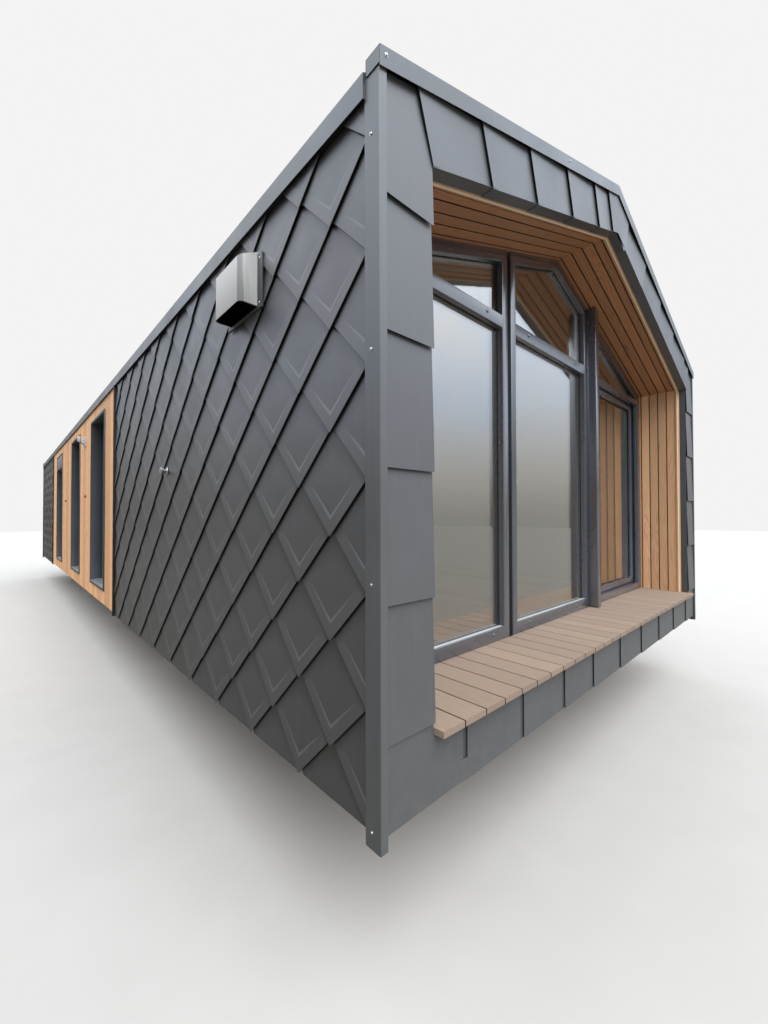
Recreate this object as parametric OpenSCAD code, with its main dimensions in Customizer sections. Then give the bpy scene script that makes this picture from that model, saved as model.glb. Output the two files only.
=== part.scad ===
// Tiny house: a long gable-roofed dwelling on a steel frame and block piers.
// X runs across, Y runs from the terrace front to the back, Z is up.
// The origin is on the ground, under the middle pier.
// Heights over the base are taken from the lower ends of the corner trims.

/* [Body] */
// Width over the corner trims
body_w = 4460; // [4000:10:5000]
// Length from the terrace front to the back
body_l = 13870; // [13500:10:14500]
// Height of the verge line over the base at the eaves
eave_h = 2533; // [2480:1:2700]
// Pitch of both roof slopes in degrees
roof_pitch = 18.9; // [15:0.1:22]
// Thickness of the insulated walls
wall_t = 200; // [140:5:220]
// Vertical thickness of the insulated roof panels
roof_t = 190; // [160:5:200]
// Depth of the battens and cladding outside the walls
clad_t = 40; // [30:1:50]
// How far the cladding sits behind the trims
skin_inset = 8; // [5:1:12]

/* [Base] */
// Height of the block piers
pier_h = 410; // [250:10:600]
// Side of one pier's blocks
pier_w = 390; // [300:10:450]
// Side of one pier's footing pad
pad_w = 500; // [460:10:700]
// Thickness of a footing pad
pad_h = 80; // [50:5:120]
// Distance between piers along the house
pier_pitch = 2900; // [2600:50:3100]
// Distance from the middle runner to an outer one
runner_pitch = 1450; // [1200:10:1600]
// Height of the steel runners
runner_h = 200; // [160:10:300]
// Flange width of the steel runners
runner_w = 100; // [80:5:150]
// Flange thickness of the steel runners
flange_t = 8.5; // [6:0.5:14]
// Web thickness of the steel runners
web_t = 5.6; // [4:0.1:10]
// How far the runners stop short of the ends
runner_inset = 600; // [300:10:900]
// Height of the cross members
cross_h = 140; // [100:5:160]
// Width of the cross members
cross_w = 60; // [40:5:80]
// Steel thickness of the cross members
cross_t = 6; // [4:0.5:10]
// Height of the floor platform's underside over the trims' lower ends
platform_lift = 60; // [45:5:80]
// Thickness of the insulated floor platform
platform_t = 190; // [150:5:220]
// Height of the metal claddings' lower edge over the trims' lower ends
skirt_z = 43; // [30:1:45]
// Height of the boards' lower edge over the trims' lower ends
boards_z = 70; // [50:1:90]

/* [Terrace] */
// Width of one front wing, from the corner to the opening
wing_w = 270; // [260:5:400]
// Height of the deck over the base
deck_h = 310; // [300:1:340]
// Thickness of the deck boards
deck_t = 25; // [20:1:30]
// How far the deck boards overhang the front
deck_nose = 42; // [10:1:60]
// Width of the deck bearers
bearer_w = 60; // [40:5:80]
// Depth from the front to the face of the glazing
glazing_y = 420; // [350:5:700]
// Vertical distance from the verge line down to the front band's edge
band_h = 268; // [230:1:300]
// Vertical distance from the verge line down to the soffit boards
soffit_drop = 258; // [230:1:290]
// Depth of the metal return round the opening
return_d = 60; // [50:1:80]
// Width of the pale strip along the opening
strip_w = 40; // [15:1:45]
// Thickness of the boards and battens on the side reveals
reveal_t = 30; // [20:1:40]

/* [Front trims] */
// Height of the metal course along the base
base_course_h = 330; // [320:1:360]
// Width of a corner trim on the long side
trim_side_w = 67; // [50:1:90]
// Height of the verge caps
verge_h = 58; // [40:1:80]
// Depth of the verge caps
verge_d = 68; // [60:1:120]
// How far the verge and eave trims stand out from the long sides
trim_proud = 4; // [2:1:8]
// How far the verge caps stand out from the gables
cap_proud = 6; // [2:1:10]
// Vertical thickness of the roof covering
cover_t = 35; // [25:1:45]
// Height of the eave fascias below the verge line
fascia_drop = 56; // [40:1:70]
// Half width of the ridge cap
ridge_w = 140; // [100:5:200]
// Vertical thickness of the ridge cap
ridge_t = 12; // [8:1:20]

/* [Glazing] */
// Face width of the glazing frames
frame_w = 60; // [50:1:80]
// Height of the bottom rails of the fixed lights
rail_h = 75; // [60:1:90]
// Vertical height of the sloping head bars
head_bar = 74; // [60:1:90]
// Depth of the fixed frames
frame_d = 80; // [70:1:100]
// Depth from a frame's face to its glass
glass_inset = 40; // [20:1:45]
// Thickness of the insulating glass
glass_t = 24; // [20:1:32]
// Height from the transoms' underside up to the verge line at the eaves
transom_drop = 263; // [240:1:400]
// Height of the transoms of the fixed lights
transom_h = 78; // [60:1:90]
// Width of the left light over its frame
left_light_w = 1230; // [1100:5:1300]
// Width of the middle light over its frame
middle_light_w = 1240; // [1100:5:1300]
// Gap between the two fixed lights
joint_w = 42; // [20:1:60]
// How far the filler in that gap stands behind the frames
joint_inset = 20; // [5:1:30]
// Width of the post beside the door
post_w = 68; // [50:1:100]
// How far that post stands in front of the frames
post_proud = 70; // [30:1:120]

/* [Terrace door] */
// Depth of the door's frame
door_frame_d = 110; // [100:1:130]
// Height of the bottom rail of the door's frame
threshold_h = 62; // [50:1:80]
// Height of the door's transom
door_transom_h = 50; // [45:1:70]
// How far the leaf lies behind the frame's face
leaf_inset = 50; // [45:1:60]
// Thickness of the door leaf
leaf_t = 68; // [60:1:80]
// How far the frame's lip covers the leaf's edge
leaf_cover = 10; // [5:1:15]
// Gap between the leaf's edge and its frame
leaf_gap = 8; // [6:1:12]
// Gap between the leaf's face and the frame's lip
lip_gap = 6; // [6:1:10]
// Width of the stiles and rails of the leaf
stile_w = 70; // [60:1:90]
// Depth from the leaf's face to the glass of the door
door_pane_inset = 30; // [15:1:35]
// Distance from the leaf's inner face to the hinge axis
hinge_off = 12; // [12:1:14]
// Distance from the leaf's ends to the outer hinges
hinge_edge = 180; // [120:10:250]
// Radius of a hinge barrel
hinge_r = 10; // [8:0.5:12]
// Radius of a hinge pin
pin_r = 6; // [4:0.5:7]
// Clearance round a hinge pin
pin_gap = 0.05; // [0.02:0.01:0.1]
// Height of half a hinge barrel
knuckle_h = 45; // [30:1:60]
// Vertical gap between the two halves
knuckle_gap = 1; // [0.5:0.5:2]
// Width of the hinge flaps
flap_w = 44; // [30:1:50]
// Height of the door handle over the deck
handle_z = 1050; // [900:10:1150]
// Width of the handle's plate
plate_w = 32; // [25:1:40]
// Height of the handle's plate
plate_h = 220; // [150:5:260]
// Thickness of the handle's plate
plate_t = 8; // [5:1:12]
// Length of the handle's neck
neck_l = 52; // [40:1:60]
// Length of the lever
lever_l = 120; // [100:1:140]
// Radius of the lever
lever_r = 9; // [7:0.5:12]

/* [Side windows] */
// Distance from the start of the boards to the first window
first_off = 565; // [500:1:650]
// Distance from the start of the boards to the second window
second_off = 2565; // [2450:1:2650]
// Distance from the third window to the end of the boards
third_off = 768; // [650:1:850]
// Width of a side window over its metal lining, and of the wall's opening
window_w = 985; // [800:5:1000]
// Underside of a side window's lining over the base
window_z = 226; // [200:1:400]
// Height left over a side window, up to the verge line at the eaves
window_head = 191; // [185:1:400]
// Thickness of the metal lining
lining_t = 30; // [20:1:45]
// How far the lining stands in front of the boards
lining_proud = 4; // [2:1:8]
// Depth from the boards' face to the window frames
recess_d = 115; // [90:5:120]
// Face width of the window frames
sash_w = 65; // [50:1:90]
// Depth of the window frames
sash_d = 75; // [60:1:80]
// Depth from a window frame's face to its glass
pane_inset = 25; // [15:1:40]
// Thickness of the sill sheet
sill_t = 4; // [2:0.5:6]
// Fall of the sill sheet
sill_fall = 14; // [8:1:20]

/* [Long sides] */
// Distance from the front to the start of the boards
boards_y = 4161; // [4000:1:4500]
// Length of the boarded stretch
boards_l = 6714; // [6300:1:7000]

/* [Fittings] */
// Distance from the front to the near side of the vent hood
hood_y = 847; // [600:5:1500]
// Width of the vent hood
hood_w = 300; // [200:5:350]
// Height from the vent hood's underside up to the verge line at the eaves
hood_drop = 467; // [440:1:700]
// Height of the vent hood at the wall
hood_h = 262; // [200:1:300]
// How far the vent hood stands out from the wall
hood_d = 100; // [80:5:200]
// Radius of the vent hood's upright edges
hood_r = 30; // [15:1:50]
// Fall of the vent hood's top
hood_fall = 50; // [20:5:100]
// Sheet thickness of the vent hood
hood_t = 3; // [2:0.5:5]
// Width of the vent hood's screwed flanges
flange_w = 40; // [20:1:50]
// Thickness of the flanges
flange_d = 10; // [4:1:12]
// How far the flanges stand below the hood
flange_drop = 15; // [5:1:30]
// Height of the blind box over the rearmost left window
blind_h = 240; // [150:5:300]
// Distance from the front to the outside tap socket
socket_y = 2306; // [1800:1:3000]
// Height of the outside tap socket over the base
socket_z = 1411; // [800:1:1600]
// Radius of the tap socket's rose
rose_r = 28; // [20:1:35]
// Thickness of the rose
rose_t = 14; // [5:1:20]
// Radius of the tap socket's spigot
spigot_r = 12; // [8:1:15]
// How far the spigot stands out from the wall
spigot_l = 42; // [30:1:60]
// Distance from the first window's far side to the wall lamp
lamp_off = 519; // [300:1:700]
// Height from the wall lamp's underside up to the verge line at the eaves
lamp_drop = 448; // [400:1:700]
// Height of the wall lamp's back plate
lamp_h = 140; // [100:5:180]
// Width of the wall lamp's back plate
lamp_w = 90; // [60:5:120]
// Thickness of the wall lamp's back plate
lamp_t = 14; // [8:1:20]
// How far the wall lamp's head stands out from the wall
lamp_d = 95; // [60:5:130]

/* [Hidden] */
$fn = 48;

half_w = body_w / 2;
rise = tan(roof_pitch);
base_z = pier_h + runner_h - platform_lift;
floor_z = platform_lift + platform_t;
seam = 1;
slope_gap = 0.1;
wall_x = half_w - clad_t;
inner_x = wall_x - wall_t;
open_x = half_w - wing_w;
boards_end = boards_y + boards_l;
window_h = eave_h - window_head - window_z;
third_y = boards_end - third_off - window_w;
window_ys = [boards_y + first_off, boards_y + second_off, third_y];
recess_x = -half_w + skin_inset + recess_d;
lining_y = return_d + strip_w;
lining_end = glazing_y + door_frame_d;

transom_z = eave_h - transom_drop;
first_x0 = -open_x;
first_x1 = first_x0 + left_light_w;
second_x0 = first_x1 + joint_w;
second_x1 = second_x0 + middle_light_w;
door_x0 = second_x1 + post_w;
door_x1 = open_x;
leaf_x0 = door_x0 + frame_w - leaf_cover;
leaf_x1 = door_x1 - frame_w + leaf_cover;
leaf_z0 = deck_h + threshold_h - leaf_cover;
leaf_z1 = transom_z + leaf_cover;
leaf_y0 = glazing_y + leaf_inset;
leaf_y1 = leaf_y0 + leaf_t;
hinge_x = leaf_x1 + leaf_gap;
hinge_y = leaf_y1 + hinge_off;
hinge_zs = [leaf_z0 + hinge_edge, (leaf_z0 + leaf_z1) / 2 - knuckle_h,
    leaf_z1 - hinge_edge - 2 * knuckle_h];

// Height of the verge line at x, lifted by off
function line_z(x, off = 0) = eave_h + (half_w - abs(x)) * rise + off;
function soffit_z(x) = line_z(x, -soffit_drop);

// Height just under the roof panels at x
function under_roof(x) = line_z(x, -roof_t - slope_gap);

// Places what is drawn from the middle of the front's bottom edge
module house() {
    translate([0, -body_l / 2, base_z]) children();
}

// Extrudes an X-Z outline from y0 to y1
module along_y(y0, y1) {
    translate([0, y1, 0]) rotate([90, 0, 0]) linear_extrude(y1 - y0) children();
}

// Extrudes a Y-Z outline from x0 to x1
module along_x(x0, x1) {
    translate([x0, 0, 0]) rotate([90, 0, 90]) linear_extrude(x1 - x0) children();
}

// Extrudes an X-Y outline from z0 to z1
module along_z(z0, z1) {
    translate([0, 0, z0]) linear_extrude(z1 - z0) children();
}

module box(x0, x1, y0, y1, z0, z1) {
    translate([x0, y0, z0]) cube([x1 - x0, y1 - y0, z1 - z0]);
}

module both_sides() {
    children();
    mirror([1, 0, 0]) children();
}

// Band that follows one slope, from low to high off the verge line
module slope_band(x0, x1, low, high) {
    polygon([[x0, line_z(x0, low)], [x1, line_z(x1, low)],
        [x1, line_z(x1, high)], [x0, line_z(x0, high)]]);
}

module i_section() {
    translate([-runner_w / 2, 0]) square([runner_w, flange_t]);
    translate([-runner_w / 2, runner_h - flange_t]) square([runner_w, flange_t]);
    translate([-web_t / 2, 0]) square([web_t, runner_h]);
}

module channel_section() {
    difference() {
        square([cross_w, cross_h]);
        translate([cross_t, cross_t]) square([cross_w, cross_h - 2 * cross_t]);
    }
}

module piers() {
    color("gray")
        for (i = [-2 : 2], j = [-1 : 1])
            translate([j * runner_pitch, i * pier_pitch, 0]) {
                translate([-pad_w / 2, -pad_w / 2, 0]) cube([pad_w, pad_w, pad_h]);
                translate([-pier_w / 2, -pier_w / 2, pad_h]) cube([pier_w, pier_w, pier_h - pad_h]);
            }
}

module runners() {
    color("dimgray")
        for (j = [-1 : 1])
            translate([j * runner_pitch, 0, pier_h])
                along_y(runner_inset - body_l / 2, body_l / 2 - runner_inset) i_section();
}

module cross_members() {
    color("dimgray")
        for (i = [-2 : 2], x = [-runner_pitch, 0])
            translate([0, i * pier_pitch - cross_w / 2, pier_h + (runner_h - cross_h) / 2])
                along_x(x + web_t / 2, x + runner_pitch - web_t / 2) channel_section();
}

module floor_platform() {
    color("burlywood")
        difference() {
            house() box(-wall_x, wall_x, clad_t, body_l - clad_t, platform_lift, floor_z);
            both_sides() house() window_cuts(-wall_x - 1, recess_x + sash_d);
        }
}

module floor_finish() {
    color("tan")
        house() {
            box(-open_x, open_x, glazing_y, lining_end, floor_z, deck_h);
            box(-inner_x, inner_x, lining_end, body_l - clad_t - wall_t, floor_z, deck_h);
        }
}

module window_cuts(x0, x1) {
    for (y = window_ys)
        box(x0, x1, y, y + window_w, window_z, window_z + window_h);
}

module side_wall() {
    house()
        difference() {
            along_y(clad_t, body_l - clad_t)
                polygon([[-wall_x, floor_z], [-inner_x, floor_z],
                    [-inner_x, under_roof(inner_x)], [-wall_x, under_roof(wall_x)]]);
            window_cuts(-wall_x - 1, -inner_x + 1);
        }
}

module left_wall() {
    color("whitesmoke") side_wall();
}

module right_wall() {
    color("whitesmoke") mirror([1, 0, 0]) side_wall();
}

module back_wall() {
    color("whitesmoke")
        house()
            along_y(body_l - clad_t - wall_t, body_l - clad_t)
                polygon([[-inner_x, floor_z], [inner_x, floor_z], [inner_x, under_roof(inner_x)],
                    [0, under_roof(0)], [-inner_x, under_roof(inner_x)]]);
}

module roof_panel() {
    house() along_y(clad_t, body_l - clad_t) slope_band(-wall_x, 0, -roof_t, 0);
}

module roof_left() {
    color("whitesmoke") roof_panel();
}

module roof_right() {
    color("whitesmoke") mirror([1, 0, 0]) roof_panel();
}

module roof_cover() {
    house()
        along_y(verge_d - cap_proud, body_l - verge_d + cap_proud)
            slope_band(-half_w - trim_proud, 0, slope_gap, cover_t);
}

module roof_cover_left() {
    color("dimgray") roof_cover();
}

module roof_cover_right() {
    color("dimgray") mirror([1, 0, 0]) roof_cover();
}

module ridge_cap() {
    color("dimgray")
        house()
            along_y(verge_d - cap_proud, body_l - verge_d + cap_proud)
                for (side = [-1, 1])
                    polygon([[0, line_z(0, cover_t + slope_gap)], [0, line_z(0, cover_t + ridge_t)],
                        [side * ridge_w, line_z(ridge_w, cover_t + ridge_t)],
                        [side * ridge_w, line_z(ridge_w, cover_t + slope_gap)]]);
}

module eave_fascias() {
    color("dimgray")
        both_sides()
            house()
                along_y(trim_side_w, body_l - trim_side_w)
                    polygon([[-half_w - trim_proud, eave_h - fascia_drop], [-wall_x, eave_h - fascia_drop],
                        [-wall_x, line_z(wall_x)], [-half_w - trim_proud, line_z(half_w + trim_proud)]]);
}

module verge_caps(y0) {
    both_sides()
        house() along_y(y0, y0 + verge_d) slope_band(-half_w - trim_proud, -seam, slope_gap, verge_h);
}

module front_verge_caps() {
    color("dimgray") verge_caps(-cap_proud);
}

module back_verge_caps() {
    color("dimgray") verge_caps(body_l - verge_d + cap_proud);
}

module gable_bands() {
    color("slategray")
        both_sides()
            house() {
                along_y(skin_inset, clad_t) slope_band(-wall_x, -seam, -band_h, 0);
                along_y(clad_t, return_d) slope_band(-open_x, -seam, -band_h, -roof_t - slope_gap);
            }
}

module front_panels() {
    color("slategray")
        both_sides()
            house() {
                along_y(skin_inset, clad_t)
                    polygon([[-wall_x, base_course_h], [-open_x, base_course_h],
                        [-open_x, line_z(open_x, -band_h - slope_gap)],
                        [-wall_x, line_z(wall_x, -band_h - slope_gap)]]);
                box(-inner_x, -open_x, clad_t, return_d, base_course_h, line_z(inner_x, -band_h - slope_gap));
            }
}

module base_fascia() {
    top_z = deck_h - deck_t;
    color("slategray")
        house()
            along_y(skin_inset, clad_t)
                polygon([[-wall_x, skirt_z], [wall_x, skirt_z], [wall_x, base_course_h], [open_x, base_course_h],
                    [open_x, top_z], [-open_x, top_z], [-open_x, base_course_h], [-wall_x, base_course_h]]);
}

// One leg on the gable, cut to the slope under the verge cap, and one leg on the long side
module corner_trim() {
    house() {
        along_y(0, clad_t)
            polygon([[-half_w, 0], [-wall_x, 0], [-wall_x, line_z(wall_x)], [-half_w, eave_h]]);
        box(-half_w, -half_w + skin_inset, clad_t, trim_side_w, 0, eave_h);
    }
}

module front_corner_trims() {
    color("dimgray") both_sides() corner_trim();
}

module back_corner_trims() {
    color("dimgray") mirror([0, 1, 0]) both_sides() corner_trim();
}

// Cladding slab of one long side between y0 and y1, from z0 up to the eave
module side_skin(y0, y1, z0) {
    house() box(-half_w + skin_inset, -wall_x, y0, y1, z0, eave_h - fascia_drop);
}

module metal_skins() {
    side_skin(clad_t, boards_y, skirt_z);
    side_skin(boards_end, body_l - clad_t, skirt_z);
}

module wood_skin() {
    difference() {
        side_skin(boards_y, boards_end, boards_z);
        house() window_cuts(-half_w - 1, -wall_x + 1);
    }
}

module left_metal_cladding() {
    color("slategray") metal_skins();
}

module right_metal_cladding() {
    color("slategray") mirror([1, 0, 0]) metal_skins();
}

module left_wood_cladding() {
    color("peru") wood_skin();
}

module right_wood_cladding() {
    color("peru") mirror([1, 0, 0]) wood_skin();
}

module back_cladding() {
    color("slategray")
        house()
            along_y(body_l - clad_t, body_l - skin_inset)
                polygon([[-wall_x, skirt_z], [wall_x, skirt_z], [wall_x, line_z(wall_x)],
                    [0, line_z(0)], [-wall_x, line_z(wall_x)]]);
}

module soffit_boards() {
    color("sienna")
        both_sides()
            house() along_y(lining_y, lining_end) slope_band(-inner_x, -seam, -soffit_drop, -roof_t - slope_gap);
}

module reveal_boards() {
    color("peru")
        both_sides()
            house()
                along_y(lining_y, lining_end)
                    polygon([[-inner_x, floor_z], [-open_x, floor_z],
                        [-open_x, soffit_z(open_x) - slope_gap], [-inner_x, soffit_z(inner_x) - slope_gap]]);
}

module opening_strip() {
    color("wheat")
        house()
            along_y(return_d, lining_y)
                polygon([[-inner_x, deck_h], [-open_x, deck_h], [-open_x, soffit_z(open_x)], [0, soffit_z(0)],
                    [open_x, soffit_z(open_x)], [open_x, deck_h], [inner_x, deck_h],
                    [inner_x, under_roof(inner_x)], [0, under_roof(0)], [-inner_x, under_roof(inner_x)]]);
}

module terrace_deck() {
    color("rosybrown")
        house() box(-open_x, open_x, -deck_nose, glazing_y, deck_h - deck_t, deck_h);
}

module deck_bearers() {
    bearer_step = (glazing_y - clad_t - 2 * bearer_w) / 2;
    color("burlywood")
        house()
            for (i = [0 : 2])
                let (y = clad_t + bearer_w / 2 + i * bearer_step)
                    box(-open_x, open_x, y, y + bearer_w, floor_z, deck_h - deck_t);
}

// Outline of one bay of the glazing, its top lowered by drop
module bay_outline(x0, x1, drop = 0) {
    low = drop + slope_gap;
    ridge_point = x0 < 0 && x1 > 0 ? [[0, soffit_z(0) - low]] : [];
    polygon(concat([[x0, deck_h], [x1, deck_h], [x1, soffit_z(x1) - low]], ridge_point,
        [[x0, soffit_z(x0) - low]]));
}

// Clear opening of a bay between two heights
module bay_light(x0, x1, z0, z1) {
    intersection() {
        bay_outline(x0, x1, head_bar);
        translate([x0 + frame_w, z0]) square([x1 - x0 - 2 * frame_w, z1 - z0]);
    }
}

module lower_light(x0, x1) {
    bay_light(x0, x1, deck_h + rail_h, transom_z);
}

module upper_light(x0, x1, bar_h) {
    bay_light(x0, x1, transom_z + bar_h, soffit_z(0));
}

module fixed_frame(x0, x1) {
    house()
        along_y(glazing_y, glazing_y + frame_d)
            difference() {
                bay_outline(x0, x1);
                lower_light(x0, x1);
                upper_light(x0, x1, transom_h);
            }
}

module left_light_frame() {
    color("darkslategray") fixed_frame(first_x0, first_x1);
}

module middle_light_frame() {
    color("darkslategray") fixed_frame(second_x0, second_x1);
}

module glazing_posts() {
    color("darkslategray")
        house() {
            along_y(glazing_y + joint_inset, glazing_y + frame_d) bay_outline(first_x1, second_x0);
            along_y(glazing_y - post_proud, glazing_y + frame_d) bay_outline(second_x1, door_x0);
        }
}

module front_glass() {
    color("lightblue", 0.4)
        house()
            along_y(glazing_y + glass_inset, glazing_y + glass_inset + glass_t) {
                lower_light(first_x0, first_x1);
                upper_light(first_x0, first_x1, transom_h);
                lower_light(second_x0, second_x1);
                upper_light(second_x0, second_x1, transom_h);
                upper_light(door_x0, door_x1, door_transom_h);
            }
}

// Rectangle of the door's leaf, grown by edge on every side
module leaf_outline(edge = 0) {
    translate([leaf_x0 - edge, leaf_z0 - edge])
        square([leaf_x1 - leaf_x0 + 2 * edge, leaf_z1 - leaf_z0 + 2 * edge]);
}

module door_frame() {
    lip_end = leaf_y0 - lip_gap;
    color("darkslategray")
        house()
            difference() {
                along_y(glazing_y, lining_end) bay_outline(door_x0, door_x1);
                along_y(glazing_y - 1, lip_end + 1) leaf_outline(-leaf_cover);
                along_y(lip_end, lining_end + 1) leaf_outline(leaf_gap);
                along_y(glazing_y - 1, lining_end + 1) upper_light(door_x0, door_x1, door_transom_h);
            }
}

// Frame halves of the hinges, with their pins
module door_hinges() {
    color("silver")
        house()
            for (z = hinge_zs) {
                translate([hinge_x, hinge_y, z]) cylinder(r = hinge_r, h = knuckle_h);
                translate([hinge_x, hinge_y, z]) cylinder(r = pin_r, h = 2 * (knuckle_h - knuckle_gap));
                box(hinge_x + seam, hinge_x + flap_w, lining_end, hinge_y + seam, z, z + knuckle_h);
            }
}

// Leaf half of a hinge, standing on the frame half's top at z
module leaf_knuckle(z) {
    low = z + knuckle_gap;
    high = z + knuckle_h;
    difference() {
        union() {
            translate([hinge_x, hinge_y, low]) cylinder(r = hinge_r, h = high - low);
            box(hinge_x - flap_w, hinge_x - seam, leaf_y1, hinge_y + seam, low, high);
        }
        translate([hinge_x, hinge_y, z]) cylinder(r = pin_r + pin_gap, h = knuckle_h + 1);
    }
}

module door_leaf() {
    color("darkslategray")
        house() {
            along_y(leaf_y0, leaf_y1)
                difference() {
                    leaf_outline();
                    leaf_outline(-stile_w);
                }
            for (z = hinge_zs)
                leaf_knuckle(z + knuckle_h);
        }
}

module door_glass() {
    color("lightblue", 0.4)
        house()
            along_y(leaf_y0 + door_pane_inset, leaf_y0 + door_pane_inset + glass_t)
                leaf_outline(-stile_w);
}

// One side's handle: a long plate, a neck and a lever
module lever() {
    translate([-plate_w / 2, 0, -plate_h / 2]) cube([plate_w, plate_t, plate_h]);
    rotate([-90, 0, 0]) cylinder(r = lever_r, h = neck_l);
    translate([0, neck_l - lever_r, 0]) rotate([0, 90, 0]) cylinder(r = lever_r, h = lever_l);
}

module door_handle() {
    color("silver")
        house()
            translate([leaf_x0 + stile_w / 2, 0, deck_h + handle_z]) {
                translate([0, leaf_y1, 0]) lever();
                translate([0, leaf_y0, 0]) mirror([0, 1, 0]) lever();
            }
}

// Ring along the edge of a side window's opening
module window_ring(bar) {
    difference() {
        square([window_w, window_h]);
        translate([bar, bar]) square([window_w - 2 * bar, window_h - 2 * bar]);
    }
}

module each_window() {
    both_sides()
        house()
            for (y = window_ys)
                translate([0, y, window_z]) children();
}

module window_linings() {
    color("darkslategray")
        each_window() along_x(-half_w - lining_proud, recess_x) window_ring(lining_t);
}

module window_frames() {
    color("darkslategray")
        each_window() along_x(recess_x, recess_x + sash_d) window_ring(lining_t + sash_w);
}

module window_glass() {
    inset = lining_t + sash_w;
    color("lightblue", 0.4)
        each_window()
            along_x(recess_x + pane_inset, recess_x + pane_inset + glass_t)
                translate([inset, inset]) square([window_w - 2 * inset, window_h - 2 * inset]);
}

module window_sills() {
    color("silver")
        each_window()
            along_y(lining_t, window_w - lining_t)
                polygon([[-half_w - lining_proud, lining_t], [recess_x, lining_t],
                    [recess_x, lining_t + sill_t + sill_fall], [-half_w - lining_proud, lining_t + sill_t]]);
}

module blind_box() {
    color("gray")
        house()
            translate([0, third_y, window_z + window_h - lining_t])
                box(-half_w, recess_x, lining_t, window_w - lining_t, -blind_h, 0);
}

// Plan outline of the hood, inset by inset from its outer face
module hood_plan(inset) {
    r = hood_r - inset;
    translate([-hood_d + hood_r, inset]) square([hood_d - hood_r, hood_w - 2 * inset]);
    translate([-hood_d + inset, hood_r]) square([hood_r, hood_w - 2 * hood_r]);
    for (y = [hood_r, hood_w - hood_r])
        translate([-hood_d + hood_r, y]) circle(r);
}

module vent_hood() {
    color("lightgray")
        house()
            translate([-half_w + skin_inset, hood_y, eave_h - hood_drop]) {
                difference() {
                    along_z(0, hood_h) hood_plan(0);
                    along_z(-1, hood_h - hood_fall - hood_t) hood_plan(hood_t);
                    along_y(-1, hood_w + 1)
                        polygon([[-hood_d - 1, hood_h - hood_fall], [0, hood_h],
                            [0, hood_h + 1], [-hood_d - 1, hood_h + 1]]);
                }
                box(-flange_d, 0, -flange_w, hood_w + flange_w, -flange_drop, hood_h - flange_drop);
            }
}

module tap_socket() {
    color("silver")
        house()
            translate([-half_w + skin_inset, socket_y, socket_z])
                rotate([0, -90, 0]) {
                    cylinder(r = rose_r, h = rose_t);
                    cylinder(r = spigot_r, h = spigot_l);
                }
}

module wall_lamp() {
    color("gray")
        house()
            translate([-half_w + skin_inset, window_ys[0] + window_w + lamp_off, eave_h - lamp_drop]) {
                box(-lamp_t, 0, -lamp_w / 2, lamp_w / 2, 0, lamp_h);
                along_y(-lamp_w / 2, lamp_w / 2)
                    polygon([[-lamp_t, lamp_h / 6], [-lamp_d, lamp_h / 2], [-lamp_d, lamp_h], [-lamp_t, lamp_h]]);
            }
}

piers();
runners();
cross_members();
floor_platform();
floor_finish();
left_wall();
right_wall();
back_wall();
roof_left();
roof_right();
roof_cover_left();
roof_cover_right();
ridge_cap();
eave_fascias();
front_verge_caps();
back_verge_caps();
gable_bands();
front_panels();
base_fascia();
front_corner_trims();
back_corner_trims();
left_metal_cladding();
right_metal_cladding();
left_wood_cladding();
right_wood_cladding();
back_cladding();
soffit_boards();
reveal_boards();
opening_strip();
terrace_deck();
deck_bearers();
left_light_frame();
middle_light_frame();
glazing_posts();
front_glass();
door_frame();
door_hinges();
door_leaf();
door_glass();
door_handle();
window_linings();
window_frames();
window_glass();
window_sills();
blind_box();
vent_hood();
tap_socket();
wall_lamp();
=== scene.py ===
"""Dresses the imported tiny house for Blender.

Lengths are millimetres in the house's own frame: X across from the middle, Y back from the
terrace front, Z up from the lower ends of the corner trims. place() turns them into metres in
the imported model's frame.
"""

from __future__ import annotations

import logging
import math
from contextlib import contextmanager
from dataclasses import dataclass, field
from enum import Enum
from typing import Any, Iterable, Iterator, Sequence

import bmesh
import bpy
from mathutils import Matrix, Vector

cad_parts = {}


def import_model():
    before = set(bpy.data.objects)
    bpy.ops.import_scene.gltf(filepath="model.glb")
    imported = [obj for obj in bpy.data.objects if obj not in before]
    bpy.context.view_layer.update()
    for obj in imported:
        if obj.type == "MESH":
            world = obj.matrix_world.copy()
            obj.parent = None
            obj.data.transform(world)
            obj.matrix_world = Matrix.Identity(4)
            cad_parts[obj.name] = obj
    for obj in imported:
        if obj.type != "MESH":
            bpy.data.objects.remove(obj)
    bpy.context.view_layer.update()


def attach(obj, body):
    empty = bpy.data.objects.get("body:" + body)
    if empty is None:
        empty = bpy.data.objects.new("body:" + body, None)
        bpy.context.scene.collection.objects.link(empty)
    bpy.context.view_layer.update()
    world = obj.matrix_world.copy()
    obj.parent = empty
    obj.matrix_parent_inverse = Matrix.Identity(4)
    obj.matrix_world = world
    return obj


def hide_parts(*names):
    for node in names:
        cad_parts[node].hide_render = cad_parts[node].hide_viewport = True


LOG = logging.getLogger("tiny_house")
MM = 0.001
Colour = tuple[float, float, float]
Point2 = tuple[float, float]
Cut = tuple[Vector, Vector]
X_WAY = Vector((1.0, 0.0, 0.0))
Y_WAY = Vector((0.0, 1.0, 0.0))
Z_WAY = Vector((0.0, 0.0, 1.0))
SHARP = math.radians(30)
FOLDED = 20.0
WHITE = (1.0, 1.0, 1.0, 1.0)


def srgb(red: int, green: int, blue: int) -> Colour:
    """Turns a screen colour of 0 to 255 into a linear one."""

    def linear(value: int) -> float:
        share = value / 255
        return share / 12.92 if share <= 0.04045 else ((share + 0.055) / 1.055) ** 2.4

    return linear(red), linear(green), linear(blue)


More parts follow.
